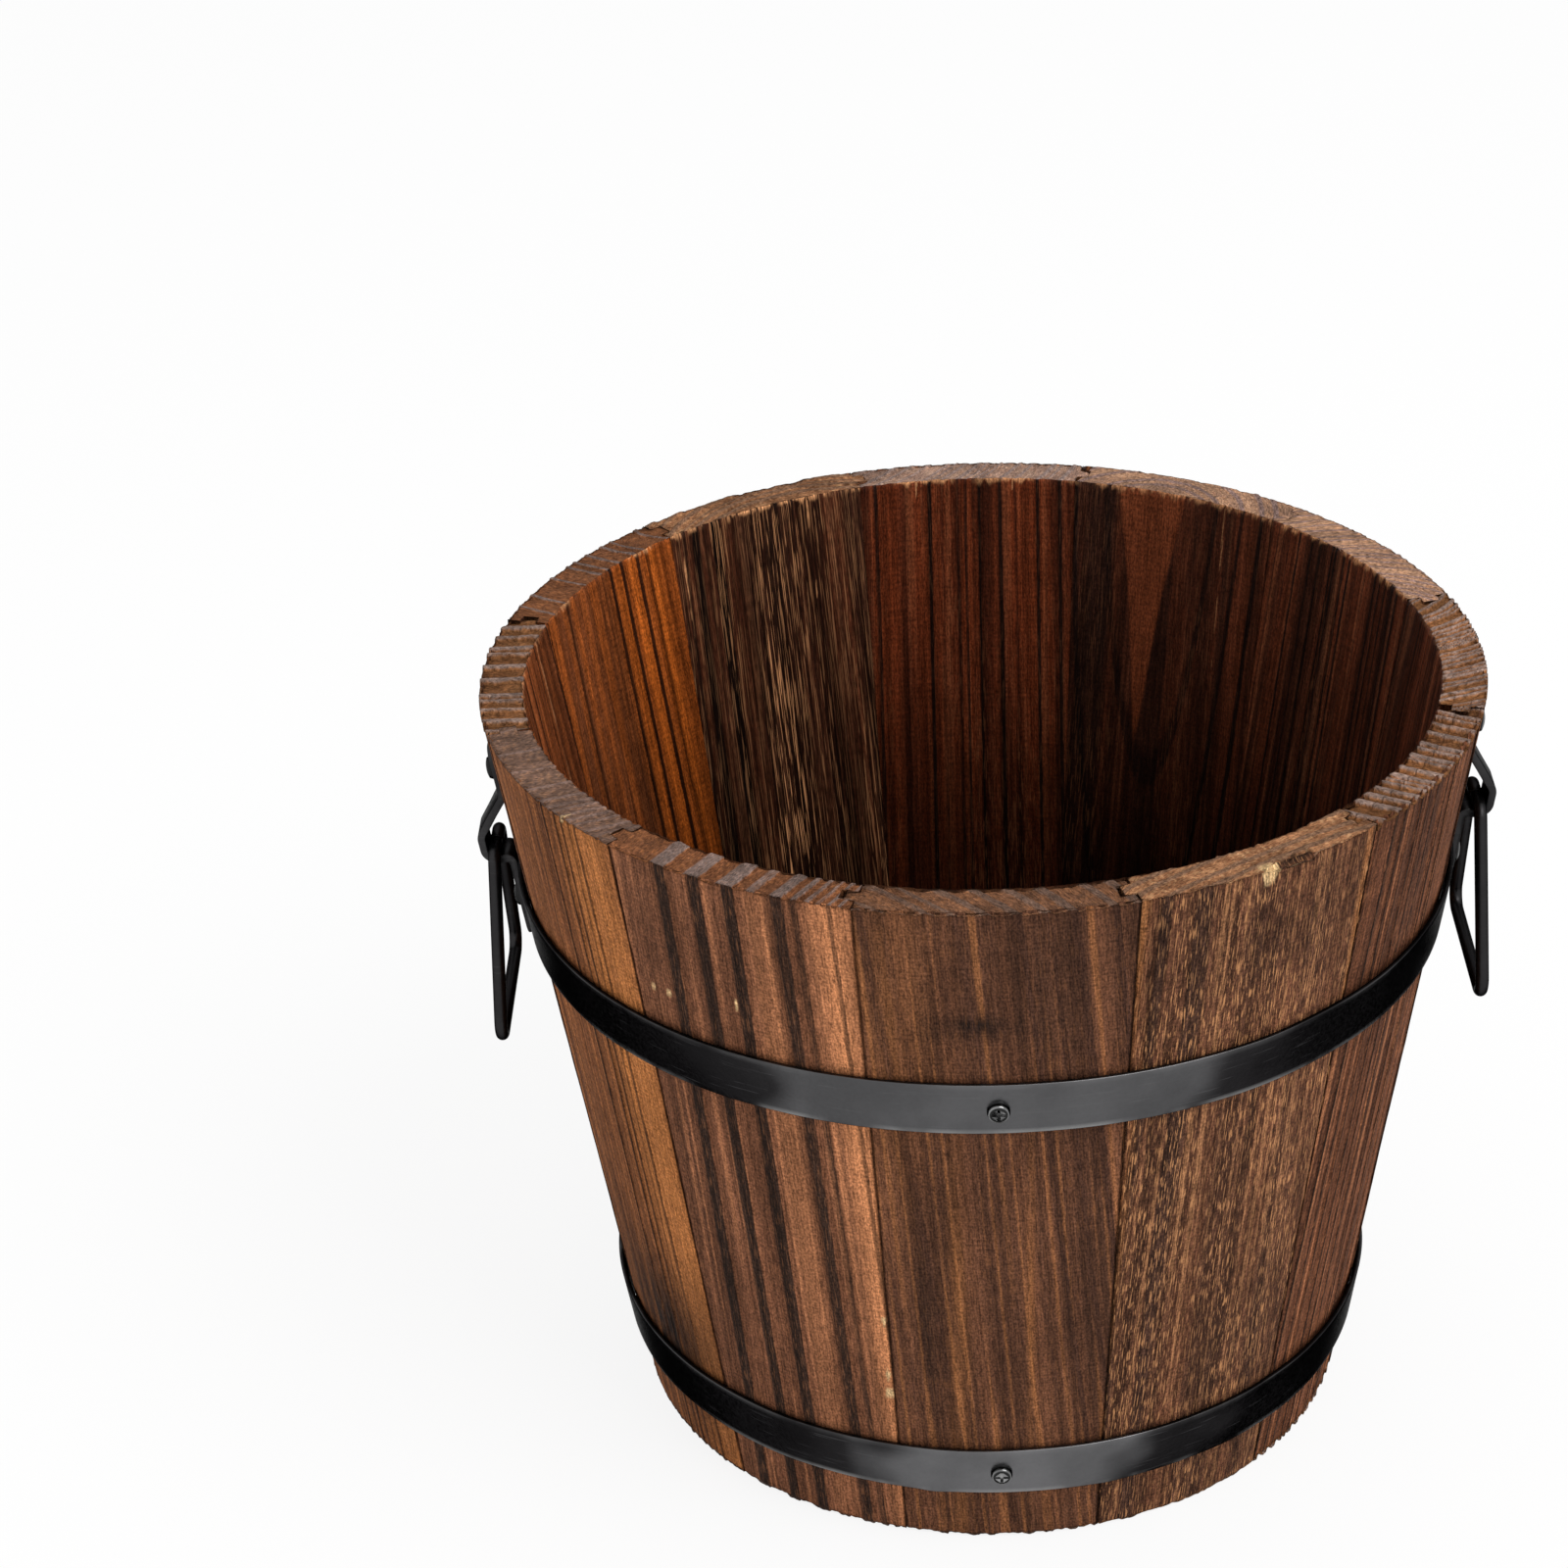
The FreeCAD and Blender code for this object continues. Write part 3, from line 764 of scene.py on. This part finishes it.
BOARD_ROUGHNESS = 0.6
BOARD_LIGHT = colour(92, 56, 38)
BOARD_DARK = colour(52, 33, 25)
BOARD_FIBRE = colour(36, 24, 20)
BOARD_BAND_RANGE = (0.35, 0.65)
BOARD_FIBRE_RANGE = (0.35, 0.7)
# How far a bump stands out in metres, and how strong it is
WOOD_BUMP = (0.0007, 0.9)
BOARD_BUMP = (0.0003, 0.7)
IRON_BUMP = (0.00008, 0.5)

# Iron's colours where it is dull, where it is lighter (its fine scratches, and a painted sheen on
# the hoops) and where it is seen at a slant, and its roughness
HOOP_IRON = ((0.028, 0.027, 0.028), (0.14, 0.139, 0.143), (0.03, 0.03, 0.03), 0.34)
HANDLE_IRON = ((0.03, 0.029, 0.03), (0.08, 0.08, 0.08), (0.25, 0.25, 0.25), 0.38)
SCREW_IRON = ((0.022, 0.022, 0.022), (0.1, 0.1, 0.1), (0.2, 0.2, 0.2), 0.2)
# Lighter bare iron at worn edges, which also serves as a painted highlight along them
BARE_IRON_AND_HIGHLIGHT = (0.3, 0.3, 0.3)
SCRATCH_SHARE = 0.25
SCRATCH_RANGE = (0.62, 0.72)
PATCH_LIGHT = (0.85, 1.15)
BARE_AND_HIGHLIGHT_RANGE = (0.36, 0.6)
SPECKLE_ROUGHNESS = 0.06


class Graph:
    """Short ways to add nodes to a material or to the world."""

    def __init__(self, owner, shader="Principled BSDF"):
        owner.use_nodes = True
        self.owner, self.tree = owner, owner.node_tree
        self.shader = self.tree.nodes[shader]

    def set(self, socket, value):
        """Links a socket to another, or gives it a value."""
        if isinstance(value, bpy.types.NodeSocket):
            self.tree.links.new(value, socket)
        elif socket.type == "RGBA":
            socket.default_value = (*value, 1)
        else:
            socket.default_value = value

    def add(self, kind, *values, **settings):
        """A node of a kind, with its inputs in order."""
        node = self.tree.nodes.new(kind)
        for key, value in settings.items():
            setattr(node, key, value)
        for socket, value in zip(node.inputs, values):
            self.set(socket, value)
        return node

    def fill(self, node, **inputs):
        """Sets a node's inputs by name."""
        for name, value in inputs.items():
            self.set(node.inputs[name.replace("_", " ")], value)

    def stored(self, name, output="Fac"):
        """What the mesh stores by a name: a number, or else a Vector or a Color."""
        return self.add("ShaderNodeAttribute", attribute_name=name).outputs[output]

    def place(self):
        """Where a point is on its piece, in metres."""
        return self.add("ShaderNodeTexCoord").outputs["Object"]

    def math(self, operation, *values):
        """A sum on numbers."""
        return self.add("ShaderNodeMath", *values, operation=operation).outputs[0]

    def times(self, one, *others):
        """The product of numbers."""
        for other in others:
            one = self.math("MULTIPLY", one, other)
        return one

    def lifted(self, value, least, more):
        """The least, and so much more times a value."""
        return self.math("MULTIPLY_ADD", value, more, least)

    def noise(self, vector, scale, detail=2.0):
        """Noise from 0 to 1 along a vector that is stretched along each axis."""
        stretched = self.add("ShaderNodeVectorMath", vector, scale, operation="MULTIPLY")
        node = self.add("ShaderNodeTexNoise")
        self.fill(node, Vector=stretched.outputs[0], Scale=1.0, Detail=detail)
        return node.outputs["Fac"]

    def range(self, value, low, high, bottom=0.0, top=1.0):
        """A value spread smoothly from one range over another."""
        node = self.add("ShaderNodeMapRange", value, low, high, bottom, top,
                        interpolation_type="SMOOTHSTEP")
        return node.outputs[0]

    def mix(self, amount, one, two, blend="MIX"):
        """A blend of two colours."""
        node = self.add("ShaderNodeMix", data_type="RGBA", blend_type=blend)
        sockets = [s for s in node.inputs if s.enabled]
        for socket, value in zip(sockets, (amount, one, two)):
            self.set(socket, value)
        return [s for s in node.outputs if s.enabled][0]

    def lit(self, tint, light):
        """A colour made lighter or darker by a number."""
        grey = self.add("ShaderNodeCombineXYZ", light, light, light).outputs[0]
        return self.mix(1.0, tint, grey, "MULTIPLY")

    def bump(self, height, distance, strength):
        """A bump over the surface."""
        node = self.add("ShaderNodeBump")
        self.fill(node, Strength=strength, Distance=distance, Height=height)
        return node.outputs["Normal"]

    def seen(self):
        """1 for rays from the camera and those that a piece mirrors or lets through, or else 0."""
        rays = self.add("ShaderNodeLightPath").outputs
        seen = rays["Is Camera Ray"]
        for name in ("Is Glossy Ray", "Is Transmission Ray"):
            seen = self.math("MAXIMUM", seen, rays[name])
        return seen

    def finish(self, **inputs):
        """Sets the shader's inputs by name and returns the material or the world."""
        self.fill(self.shader, **inputs)
        return self.owner


class WoodGraph(Graph):
    """Brushed and scorched wood that follows each stave's own grain."""

    def __init__(self):
        super().__init__(bpy.data.materials.new("scorched_wood"))
        grain = self.stored("grain", "Vector")
        self.fibre = self.noise(grain, FIBRE_SCALE)
        self.fine = self.noise(grain, FINE_SCALE)
        self.fuzz = self.noise(grain, FUZZ_SCALE, detail=4.0)
        self.pores = self.noise(grain, PORE_SCALE)
        self.clouds = self.noise(grain, CLOUD_SCALE, detail=3.0)
        self.saw = self.noise(grain, SAW_SCALE)
        self.crumbs, self.flecks = self.stored("crumbs"), self.stored("flecks")
        self.coarse = self.lifted(self.flecks, *COARSENESS)
        self.pits = self.range(self.pores, *PIT_RANGE)

    def light(self):
        """How light the wood is, from its fibres, fuzz, saw marks and clouds."""
        fibre = self.range(self.fibre, *NOISE_MIDDLE, *FIBRE_LIGHT)
        fine = self.range(self.fine, *NOISE_MIDDLE, *FIBRE_LIGHT)
        uneven = self.math("SUBTRACT", self.times(fibre, fine), 1.0)
        light = self.lifted(uneven, 1.0, self.coarse)
        fuzz = self.range(self.fuzz, *FUZZ_RANGE, *FUZZ_LIGHT)
        fuzz = self.lifted(fuzz, 1.0, self.lifted(self.crumbs, *FUZZ_STRENGTH))
        saw = self.range(self.saw, *NOISE_MIDDLE, *SAW_LIGHT)
        clouds = self.range(self.clouds, *NOISE_MIDDLE, *CLOUD_LIGHT)
        return self.times(light, fuzz, saw, clouds)

    def tint(self):
        """Soft and hard wood, with its flecks and pits."""
        ragged = self.range(self.fibre, *NOISE_MIDDLE, *RAGGED_LINE)
        line = self.range(self.math("ADD", self.stored("line"), ragged), *LINE_RANGE)
        tint = self.mix(line, self.stored("soft", "Color"), self.stored("hard", "Color"))
        tint = self.lit(tint, self.light())
        patchy = self.times(self.range(self.clouds, *PATCH_RANGE, *PATCH_FLECKS), self.flecks)
        fleck = self.times(self.range(self.pores, *FLECK_RANGE), patchy)
        tint = self.mix(fleck, tint, self.stored("fleck", "Color"))
        shade = self.times(self.coarse, PIT_SHADE)
        return self.mix(self.times(self.pits, shade), tint, EMBER)

    def height(self):
        """How far the wood stands out, with more of its finer noises where an end is crumbly."""
        fine = self.times(self.fine, self.lifted(self.crumbs, *FINE_HEIGHT))
        height = self.lifted(self.fibre, fine, FIBRE_HEIGHT)
        fuzz = self.times(self.fuzz, self.lifted(self.crumbs, *FUZZ_HEIGHT))
        height = self.math("ADD", height, fuzz)
        return self.math("ADD", height, self.times(self.pits, PIT_HEIGHT))


def wood_material():
    """The staves' wood, smoother on the inside."""
    g = WoodGraph()
    shine = g.times(g.stored("shine"), INSIDE_SHINE)
    rough = g.math("SUBTRACT", WOOD_ROUGHNESS, shine)
    return g.finish(Base_Color=g.tint(), Roughness=rough, Specular_IOR_Level=WOOD_SPECULAR,
                    Normal=g.bump(g.height(), *WOOD_BUMP))


def board_material():
    """The plain scorched boards of the base, with grain along X."""
    g = Graph(bpy.data.materials.new("base_wood"))
    fibre = g.noise(g.place(), BOARD_FIBRE_SCALE)
    bands = g.noise(g.place(), BOARD_BAND_SCALE)
    tint = g.mix(g.range(bands, *BOARD_BAND_RANGE), BOARD_LIGHT, BOARD_DARK)
    tint = g.mix(g.range(fibre, *BOARD_FIBRE_RANGE), tint, BOARD_FIBRE)
    return g.finish(Base_Color=tint, Roughness=BOARD_ROUGHNESS, Normal=g.bump(fibre, *BOARD_BUMP))


def iron_material(name, dull, sheen_and_scratch, slant, roughness):
    """Black painted iron: darker where it is seen at a slant, finely scratched, with a painted sheen
    and with bare wear and painted highlights on edges where the mesh stores them.
    """
    g = Graph(bpy.data.materials.new(name))
    place = g.place()
    speckle = g.noise(place, SPECKLE_SCALE, detail=3.0)
    patches = g.noise(place, PATCH_SCALE, detail=3.0)
    scratches = g.range(g.noise(place, SCRATCH_SCALE), *SCRATCH_RANGE)
    # Painted sheen: a lighter colour where the mesh stores it, standing in for a reflection on the
    # hoops' front and back
    tint = g.mix(g.stored("sheen_and_scratch"), dull, sheen_and_scratch)
    tint = g.lit(tint, g.range(patches, *NOISE_MIDDLE, *PATCH_LIGHT))
    tint = g.mix(g.times(scratches, SCRATCH_SHARE), tint, sheen_and_scratch)
    # Bare wear and painted highlight on rounded edges, where the mesh stores them
    bare_and_highlight = g.times(g.stored("wear_and_highlight"), g.range(patches, *BARE_AND_HIGHLIGHT_RANGE))
    tint = g.mix(bare_and_highlight, tint, BARE_IRON_AND_HIGHLIGHT)
    smoother, rougher = roughness - SPECKLE_ROUGHNESS, roughness + SPECKLE_ROUGHNESS
    rough = g.range(speckle, *NOISE_MIDDLE, smoother, rougher)
    return g.finish(Base_Color=tint, Metallic=1.0, Roughness=rough, Specular_Tint=slant,
                    Normal=g.bump(speckle, *IRON_BUMP))


# Hoops

HOOP_WIDTH = 17.5
HOOP_THICKNESS = 1.5
HOOP_EASE = 0.4
HOOP_LAP = 30.0
HOOP_LAP_GAP = 0.1
HOOP_JOGGLE = 9.0
HOOP_STEPS = 720
HOOP_FACE_STEPS = 12
HOOP_CORNER_STEPS = 4
HOOP_BOTTOMS = {"upper": 163.2, "lower": 20.5}
# How bare the corners are worn, with a painted highlight along the lower front edge, by the angle at
# which a corner's curve starts
LOWER_FRONT = -90
UPPER_FRONT = 0
CORNER_WEAR_AND_HIGHLIGHT = {LOWER_FRONT: 0.8, UPPER_FRONT: 0.1}
# How strong the painted sheen is at front and back, a lighter colour standing in for a reflection,
# and how many degrees off it ends and fades
HOOP_PAINTED_SHEEN = {"upper": (0.62, 28, 21), "lower": (1.05, 23, 14)}
SHEEN_RAGGED = 0.07
SHEEN_TURNS = 9
SHEEN_RISE = 9
SHEEN_SHIFT = 3.1
# How far a band strays outward and upward, with the bumps for each radian and their height
HOOP_WARP = 0.2
HOOP_WARP_TURNS = 5
HOOP_WARP_RISE = 14
HOOP_SWAY = 0.5
HOOP_SWAY_TURNS = 6
# A dent is (angle from the front, rise, half length, half height, push outward)
HOOP_DENTS = {
    "upper": ((-0.62, 6, 0.10, 8, 0.35), (0.55, 12, 0.08, 7, 0.3)),
    "lower": ((-0.17, 1, 0.035, 4, 0.6), (0.62, 6, 0.08, 6, 0.7), (0.78, 13, 0.06, 6, -0.3),
              (0.28, 2, 0.05, 5, 0.4)),
}


def hoop_section():
    """Points (out, rise) round a band's rounded section, and how much bare wear and painted
    highlight each takes.
    """
    points, wear_and_highlight = [], []
    far, top = HOOP_THICKNESS - HOOP_EASE, HOOP_WIDTH - HOOP_EASE
    near = low = HOOP_EASE
    fronts = (far, low, LOWER_FRONT), (far, top, UPPER_FRONT)
    for out, rise, turn in (*fronts, (near, top, 90), (near, low, 180)):
        for step in range(HOOP_CORNER_STEPS):
            angle = math.radians(turn + 90 / (HOOP_CORNER_STEPS - 1) * step)
            points.append((out + HOOP_EASE * math.cos(angle), rise + HOOP_EASE * math.sin(angle)))
            wear_and_highlight.append(CORNER_WEAR_AND_HIGHLIGHT.get(turn, 0.0))
        if turn == LOWER_FRONT:
            face = np.linspace(low, top, HOOP_FACE_STEPS)[1:-1]
            points += [(HOOP_THICKNESS, rise) for rise in face]
            wear_and_highlight += [0.0] * len(face)
    return np.array(points), np.array(wear_and_highlight)


def hoop_grid(name):
    """Angle, rise, reach off the wall and wear over a band that laps over its own start."""
    radius = wall_radius(HOOP_BOTTOMS[name] + HOOP_WIDTH / 2)
    lap, joggle = HOOP_LAP / radius, HOOP_JOGGLE / radius
    start = math.pi - lap / 2
    lapped = start + 2 * math.pi
    turns = np.linspace(start, lapped + lap, HOOP_STEPS)
    section, wear_and_highlight = hoop_section()
    angle, out = np.meshgrid(turns, section[:, 0], indexing="ij")
    step_out = ramp(turns, lapped - joggle, lapped) * (HOOP_THICKNESS + HOOP_LAP_GAP)
    rise = np.broadcast_to(section[:, 1], out.shape)
    return angle, rise, out + step_out[:, None], np.broadcast_to(wear_and_highlight, out.shape)


def hoop_points(name, angle, rise, out):
    """Where a band's vertices are, a little warped and dented."""
    bottom = HOOP_BOTTOMS[name]
    level = rise * 0
    push = HOOP_WARP * noise(angle * HOOP_WARP_TURNS, rise / HOOP_WARP_RISE, level + bottom)
    for *place, amount in HOOP_DENTS[name]:
        push = push + amount * spread(angle - 2 * math.pi, rise, place)
    sway = noise(angle * HOOP_SWAY_TURNS, level, level + bottom) - 0.5
    up = bottom + rise + HOOP_SWAY * sway
    reach = wall_radius(up) + out / math.cos(math.atan(SLOPE)) + push
    return np.stack((reach * np.sin(angle), -reach * np.cos(angle), up), axis=-1).reshape(-1, 3)


def hoop_painted_sheen(name, angle, rise):
    """How strong a band's painted sheen is, most at its front and back: a lighter colour standing in
    for a reflection.
    """
    amount, far, near = HOOP_PAINTED_SHEEN[name]
    ragged = noise(angle * SHEEN_TURNS, rise / SHEEN_RISE, rise * 0 + SHEEN_SHIFT) - 0.5
    facing = np.abs(np.cos(angle)) + SHEEN_RAGGED * ragged
    return amount * ramp(facing, math.cos(math.radians(far)), math.cos(math.radians(near)))


def hoop_mesh(name):
    """The mesh of a band, with what its material reads from it."""
    angle, rise, out, wear_and_highlight = hoop_grid(name)
    points = hoop_points(name, angle, rise, out)
    index = np.arange(len(points)).reshape(out.shape)
    index = np.concatenate((index, index[:, :1]), axis=1)
    faces = sheet_of(index, False).tolist()
    faces += [index[0, :-1].tolist(), index[-1, :-1][::-1].tolist()]
    mesh = smooth_mesh(name + "_hoop", points, faces)
    # The painted sheen that stands in for a reflection
    store(mesh, "sheen_and_scratch", hoop_painted_sheen(name, angle, rise))
    store(mesh, "wear_and_highlight", wear_and_highlight)
    return mesh


# Pieces

# How far edges are rounded, and how much bare wear and painted highlight they take
BOARD_EDGES = (0.6, 0.0)
SCREW_EDGES = (0.2, 1.0)
BRACKET_EDGES = (0.4, 0.05)
BAIL_EDGES = (0.3, 0.0)
# What counts as one point, in metres, and as flat, sharp and smooth, in radians
ONE_POINT = 0.00001
FLAT_ANGLE = 0.01
SHARP_ANGLE = 0.6
SMOOTH_ANGLE = 0.7


def placed(name, data):
    """A new object in the scene."""
    thing = bpy.data.objects.new(name, data)
    bpy.context.scene.collection.objects.link(thing)
    return thing


def add_piece(node, stuff, mesh, material, body="pot"):
    """Shows a mesh in place of a node of the model, named after the node and its stuff."""
    piece = placed(node + "_" + stuff, mesh)
    mesh.materials.clear()
    mesh.materials.append(material)
    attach(piece, body)
    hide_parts(node)


def eased_mesh(node, ease, wear_and_highlight):
    """A copy of a node's mesh with its sharp edges rounded, with bare wear and a painted highlight
    stored on them.
    """
    shape = bmesh.new()
    shape.from_mesh(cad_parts[node].data)
    bmesh.ops.remove_doubles(shape, verts=shape.verts, dist=ONE_POINT)
    bmesh.ops.dissolve_limit(shape, angle_limit=FLAT_ANGLE, verts=shape.verts, edges=shape.edges)
    sharp = [e for e in shape.edges if e.is_manifold and e.calc_face_angle() > SHARP_ANGLE]
    worn = shape.verts.layers.float.new("wear_and_highlight")
    rounded = bmesh.ops.bevel(shape, geom=sharp, offset=ease * MM, segments=2, profile=0.5,
                              affect="EDGES", clamp_overlap=True)
    for vertex in rounded["verts"]:
        vertex[worn] = wear_and_highlight
    for face in shape.faces:
        face.smooth = True
    mesh = bpy.data.meshes.new(node)
    shape.to_mesh(mesh)
    shape.free()
    mesh.set_sharp_from_angle(angle=SMOOTH_ANGLE)
    return mesh


def add_staves():
    """All the staves, with one material."""
    wood = wood_material()
    for number in range(STAVES):
        node = "stave_%02d" % (number + 1)
        add_piece(node, "wood", stave_mesh(number), wood)


def add_base():
    """The base boards."""
    wood = board_material()
    for name in ("front", "middle", "back"):
        node = "base_board_" + name
        add_piece(node, "wood", eased_mesh(node, *BOARD_EDGES), wood)


def add_screws(node, iron):
    """A pair of screws."""
    add_piece(node, "iron", eased_mesh(node, *SCREW_EDGES), iron)


def add_ironwork():
    """The hoops, brackets, bails and screws."""
    band = iron_material("hoop_iron", *HOOP_IRON)
    iron = iron_material("handle_iron", *HANDLE_IRON)
    screw = iron_material("screw_iron", *SCREW_IRON)
    for name in ("upper", "lower"):
        node = name + "_hoop"
        add_piece(node, "iron", hoop_mesh(name), band)
        add_screws(node + "_screws", screw)
    for side in ("left", "right"):
        node = side + "_bracket"
        add_piece(node, "iron", eased_mesh(node, *BRACKET_EDGES), iron)
        add_screws(node + "_screws", screw)
        node = side + "_bail"
        mesh = eased_mesh(node, *BAIL_EDGES)
        add_piece(node, "iron", mesh, iron, side + "_handle")


# Stage, light and camera

WORLD_LEVEL = 0.8
WHITE = (1.0, 1.0, 1.0)
FLOOR_HALF = 4.0
FLOOR_COLOUR = (0.94, 0.94, 0.94)
FLOOR_LIFT = 0.85
KEY_PLACE = (1.0, -0.9, 1.9)
KEY_AIM = (0, 0, 0.15)
KEY_SIZE = 1.3
KEY_POWER = 24.0
CAMERA_PLACE = (-0.02388, -1.03346, 0.75300)
CAMERA_TURN = math.radians(2.0)
CAMERA_PITCH = 0.491
CAMERA_ROLL = -0.0432
CAMERA_LENS = 88.57
CAMERA_SENSOR = 36.0


def floor_material():
    """Pale and matt, lifted toward white where it is seen, with its shadows kept."""
    g = Graph(bpy.data.materials.new("floor_white"))
    material = g.finish(Base_Color=FLOOR_COLOUR, Roughness=1.0, Specular_IOR_Level=0.0)
    lift = g.times(g.seen(), FLOOR_LIFT)
    white = g.add("ShaderNodeEmission", WHITE, 1.0)
    both = g.add("ShaderNodeMixShader", lift, g.shader.outputs[0], white.outputs[0])
    g.set(g.tree.nodes["Material Output"].inputs["Surface"], both.outputs[0])
    return material


def add_floor():
    """A wide pale floor that takes the pot's shadow."""
    mesh = bpy.data.meshes.new("floor")
    corners = [(FLOOR_HALF * x, FLOOR_HALF * y, 0) for x, y in ((-1, -1), (1, -1), (1, 1), (-1, 1))]
    mesh.from_pydata(corners, [], [(0, 1, 2, 3)])
    mesh.materials.append(floor_material())
    floor = placed("floor", mesh)


def set_world():
    """An even soft light, white where it is seen or mirrored."""
    g = Graph(bpy.data.worlds.new("studio"), "Background")
    level = g.range(g.seen(), 0.0, 1.0, WORLD_LEVEL, 1.0)
    bpy.context.scene.world = g.finish(Color=WHITE, Strength=level)


def add_key_light():
    """A large soft light above, to the right and in front."""
    data = bpy.data.lights.new("key", "AREA")
    data.size = KEY_SIZE
    data.energy = KEY_POWER
    light = placed("key", data)
    light.location = KEY_PLACE
    aim = Vector(KEY_AIM) - Vector(KEY_PLACE)
    light.rotation_euler = aim.to_track_quat("-Z", "Y").to_euler()


def add_camera():
    """The camera that sees the pot as the photograph does."""
    data = bpy.data.cameras.new("camera")
    data.lens = CAMERA_LENS
    data.sensor_width = CAMERA_SENSOR
    camera = placed("camera", data)
    turned = Matrix.Rotation(CAMERA_TURN, 3, "Z")
    right = turned @ Vector((1, 0, 0))
    ahead = turned @ Vector((0, math.cos(CAMERA_PITCH), -math.sin(CAMERA_PITCH)))
    over = turned @ Vector((0, math.sin(CAMERA_PITCH), math.cos(CAMERA_PITCH)))
    x_axis = right * math.cos(CAMERA_ROLL) + over * math.sin(CAMERA_ROLL)
    y_axis = over * math.cos(CAMERA_ROLL) - right * math.sin(CAMERA_ROLL)
    axes = Matrix((x_axis, y_axis, -ahead)).transposed()
    camera.matrix_world = Matrix.Translation(CAMERA_PLACE) @ axes.to_4x4()
    bpy.context.scene.camera = camera


add_staves()
add_base()
add_ironwork()
add_floor()
set_world()
add_key_light()
add_camera()
bpy.context.scene.view_settings.view_transform = "Standard"
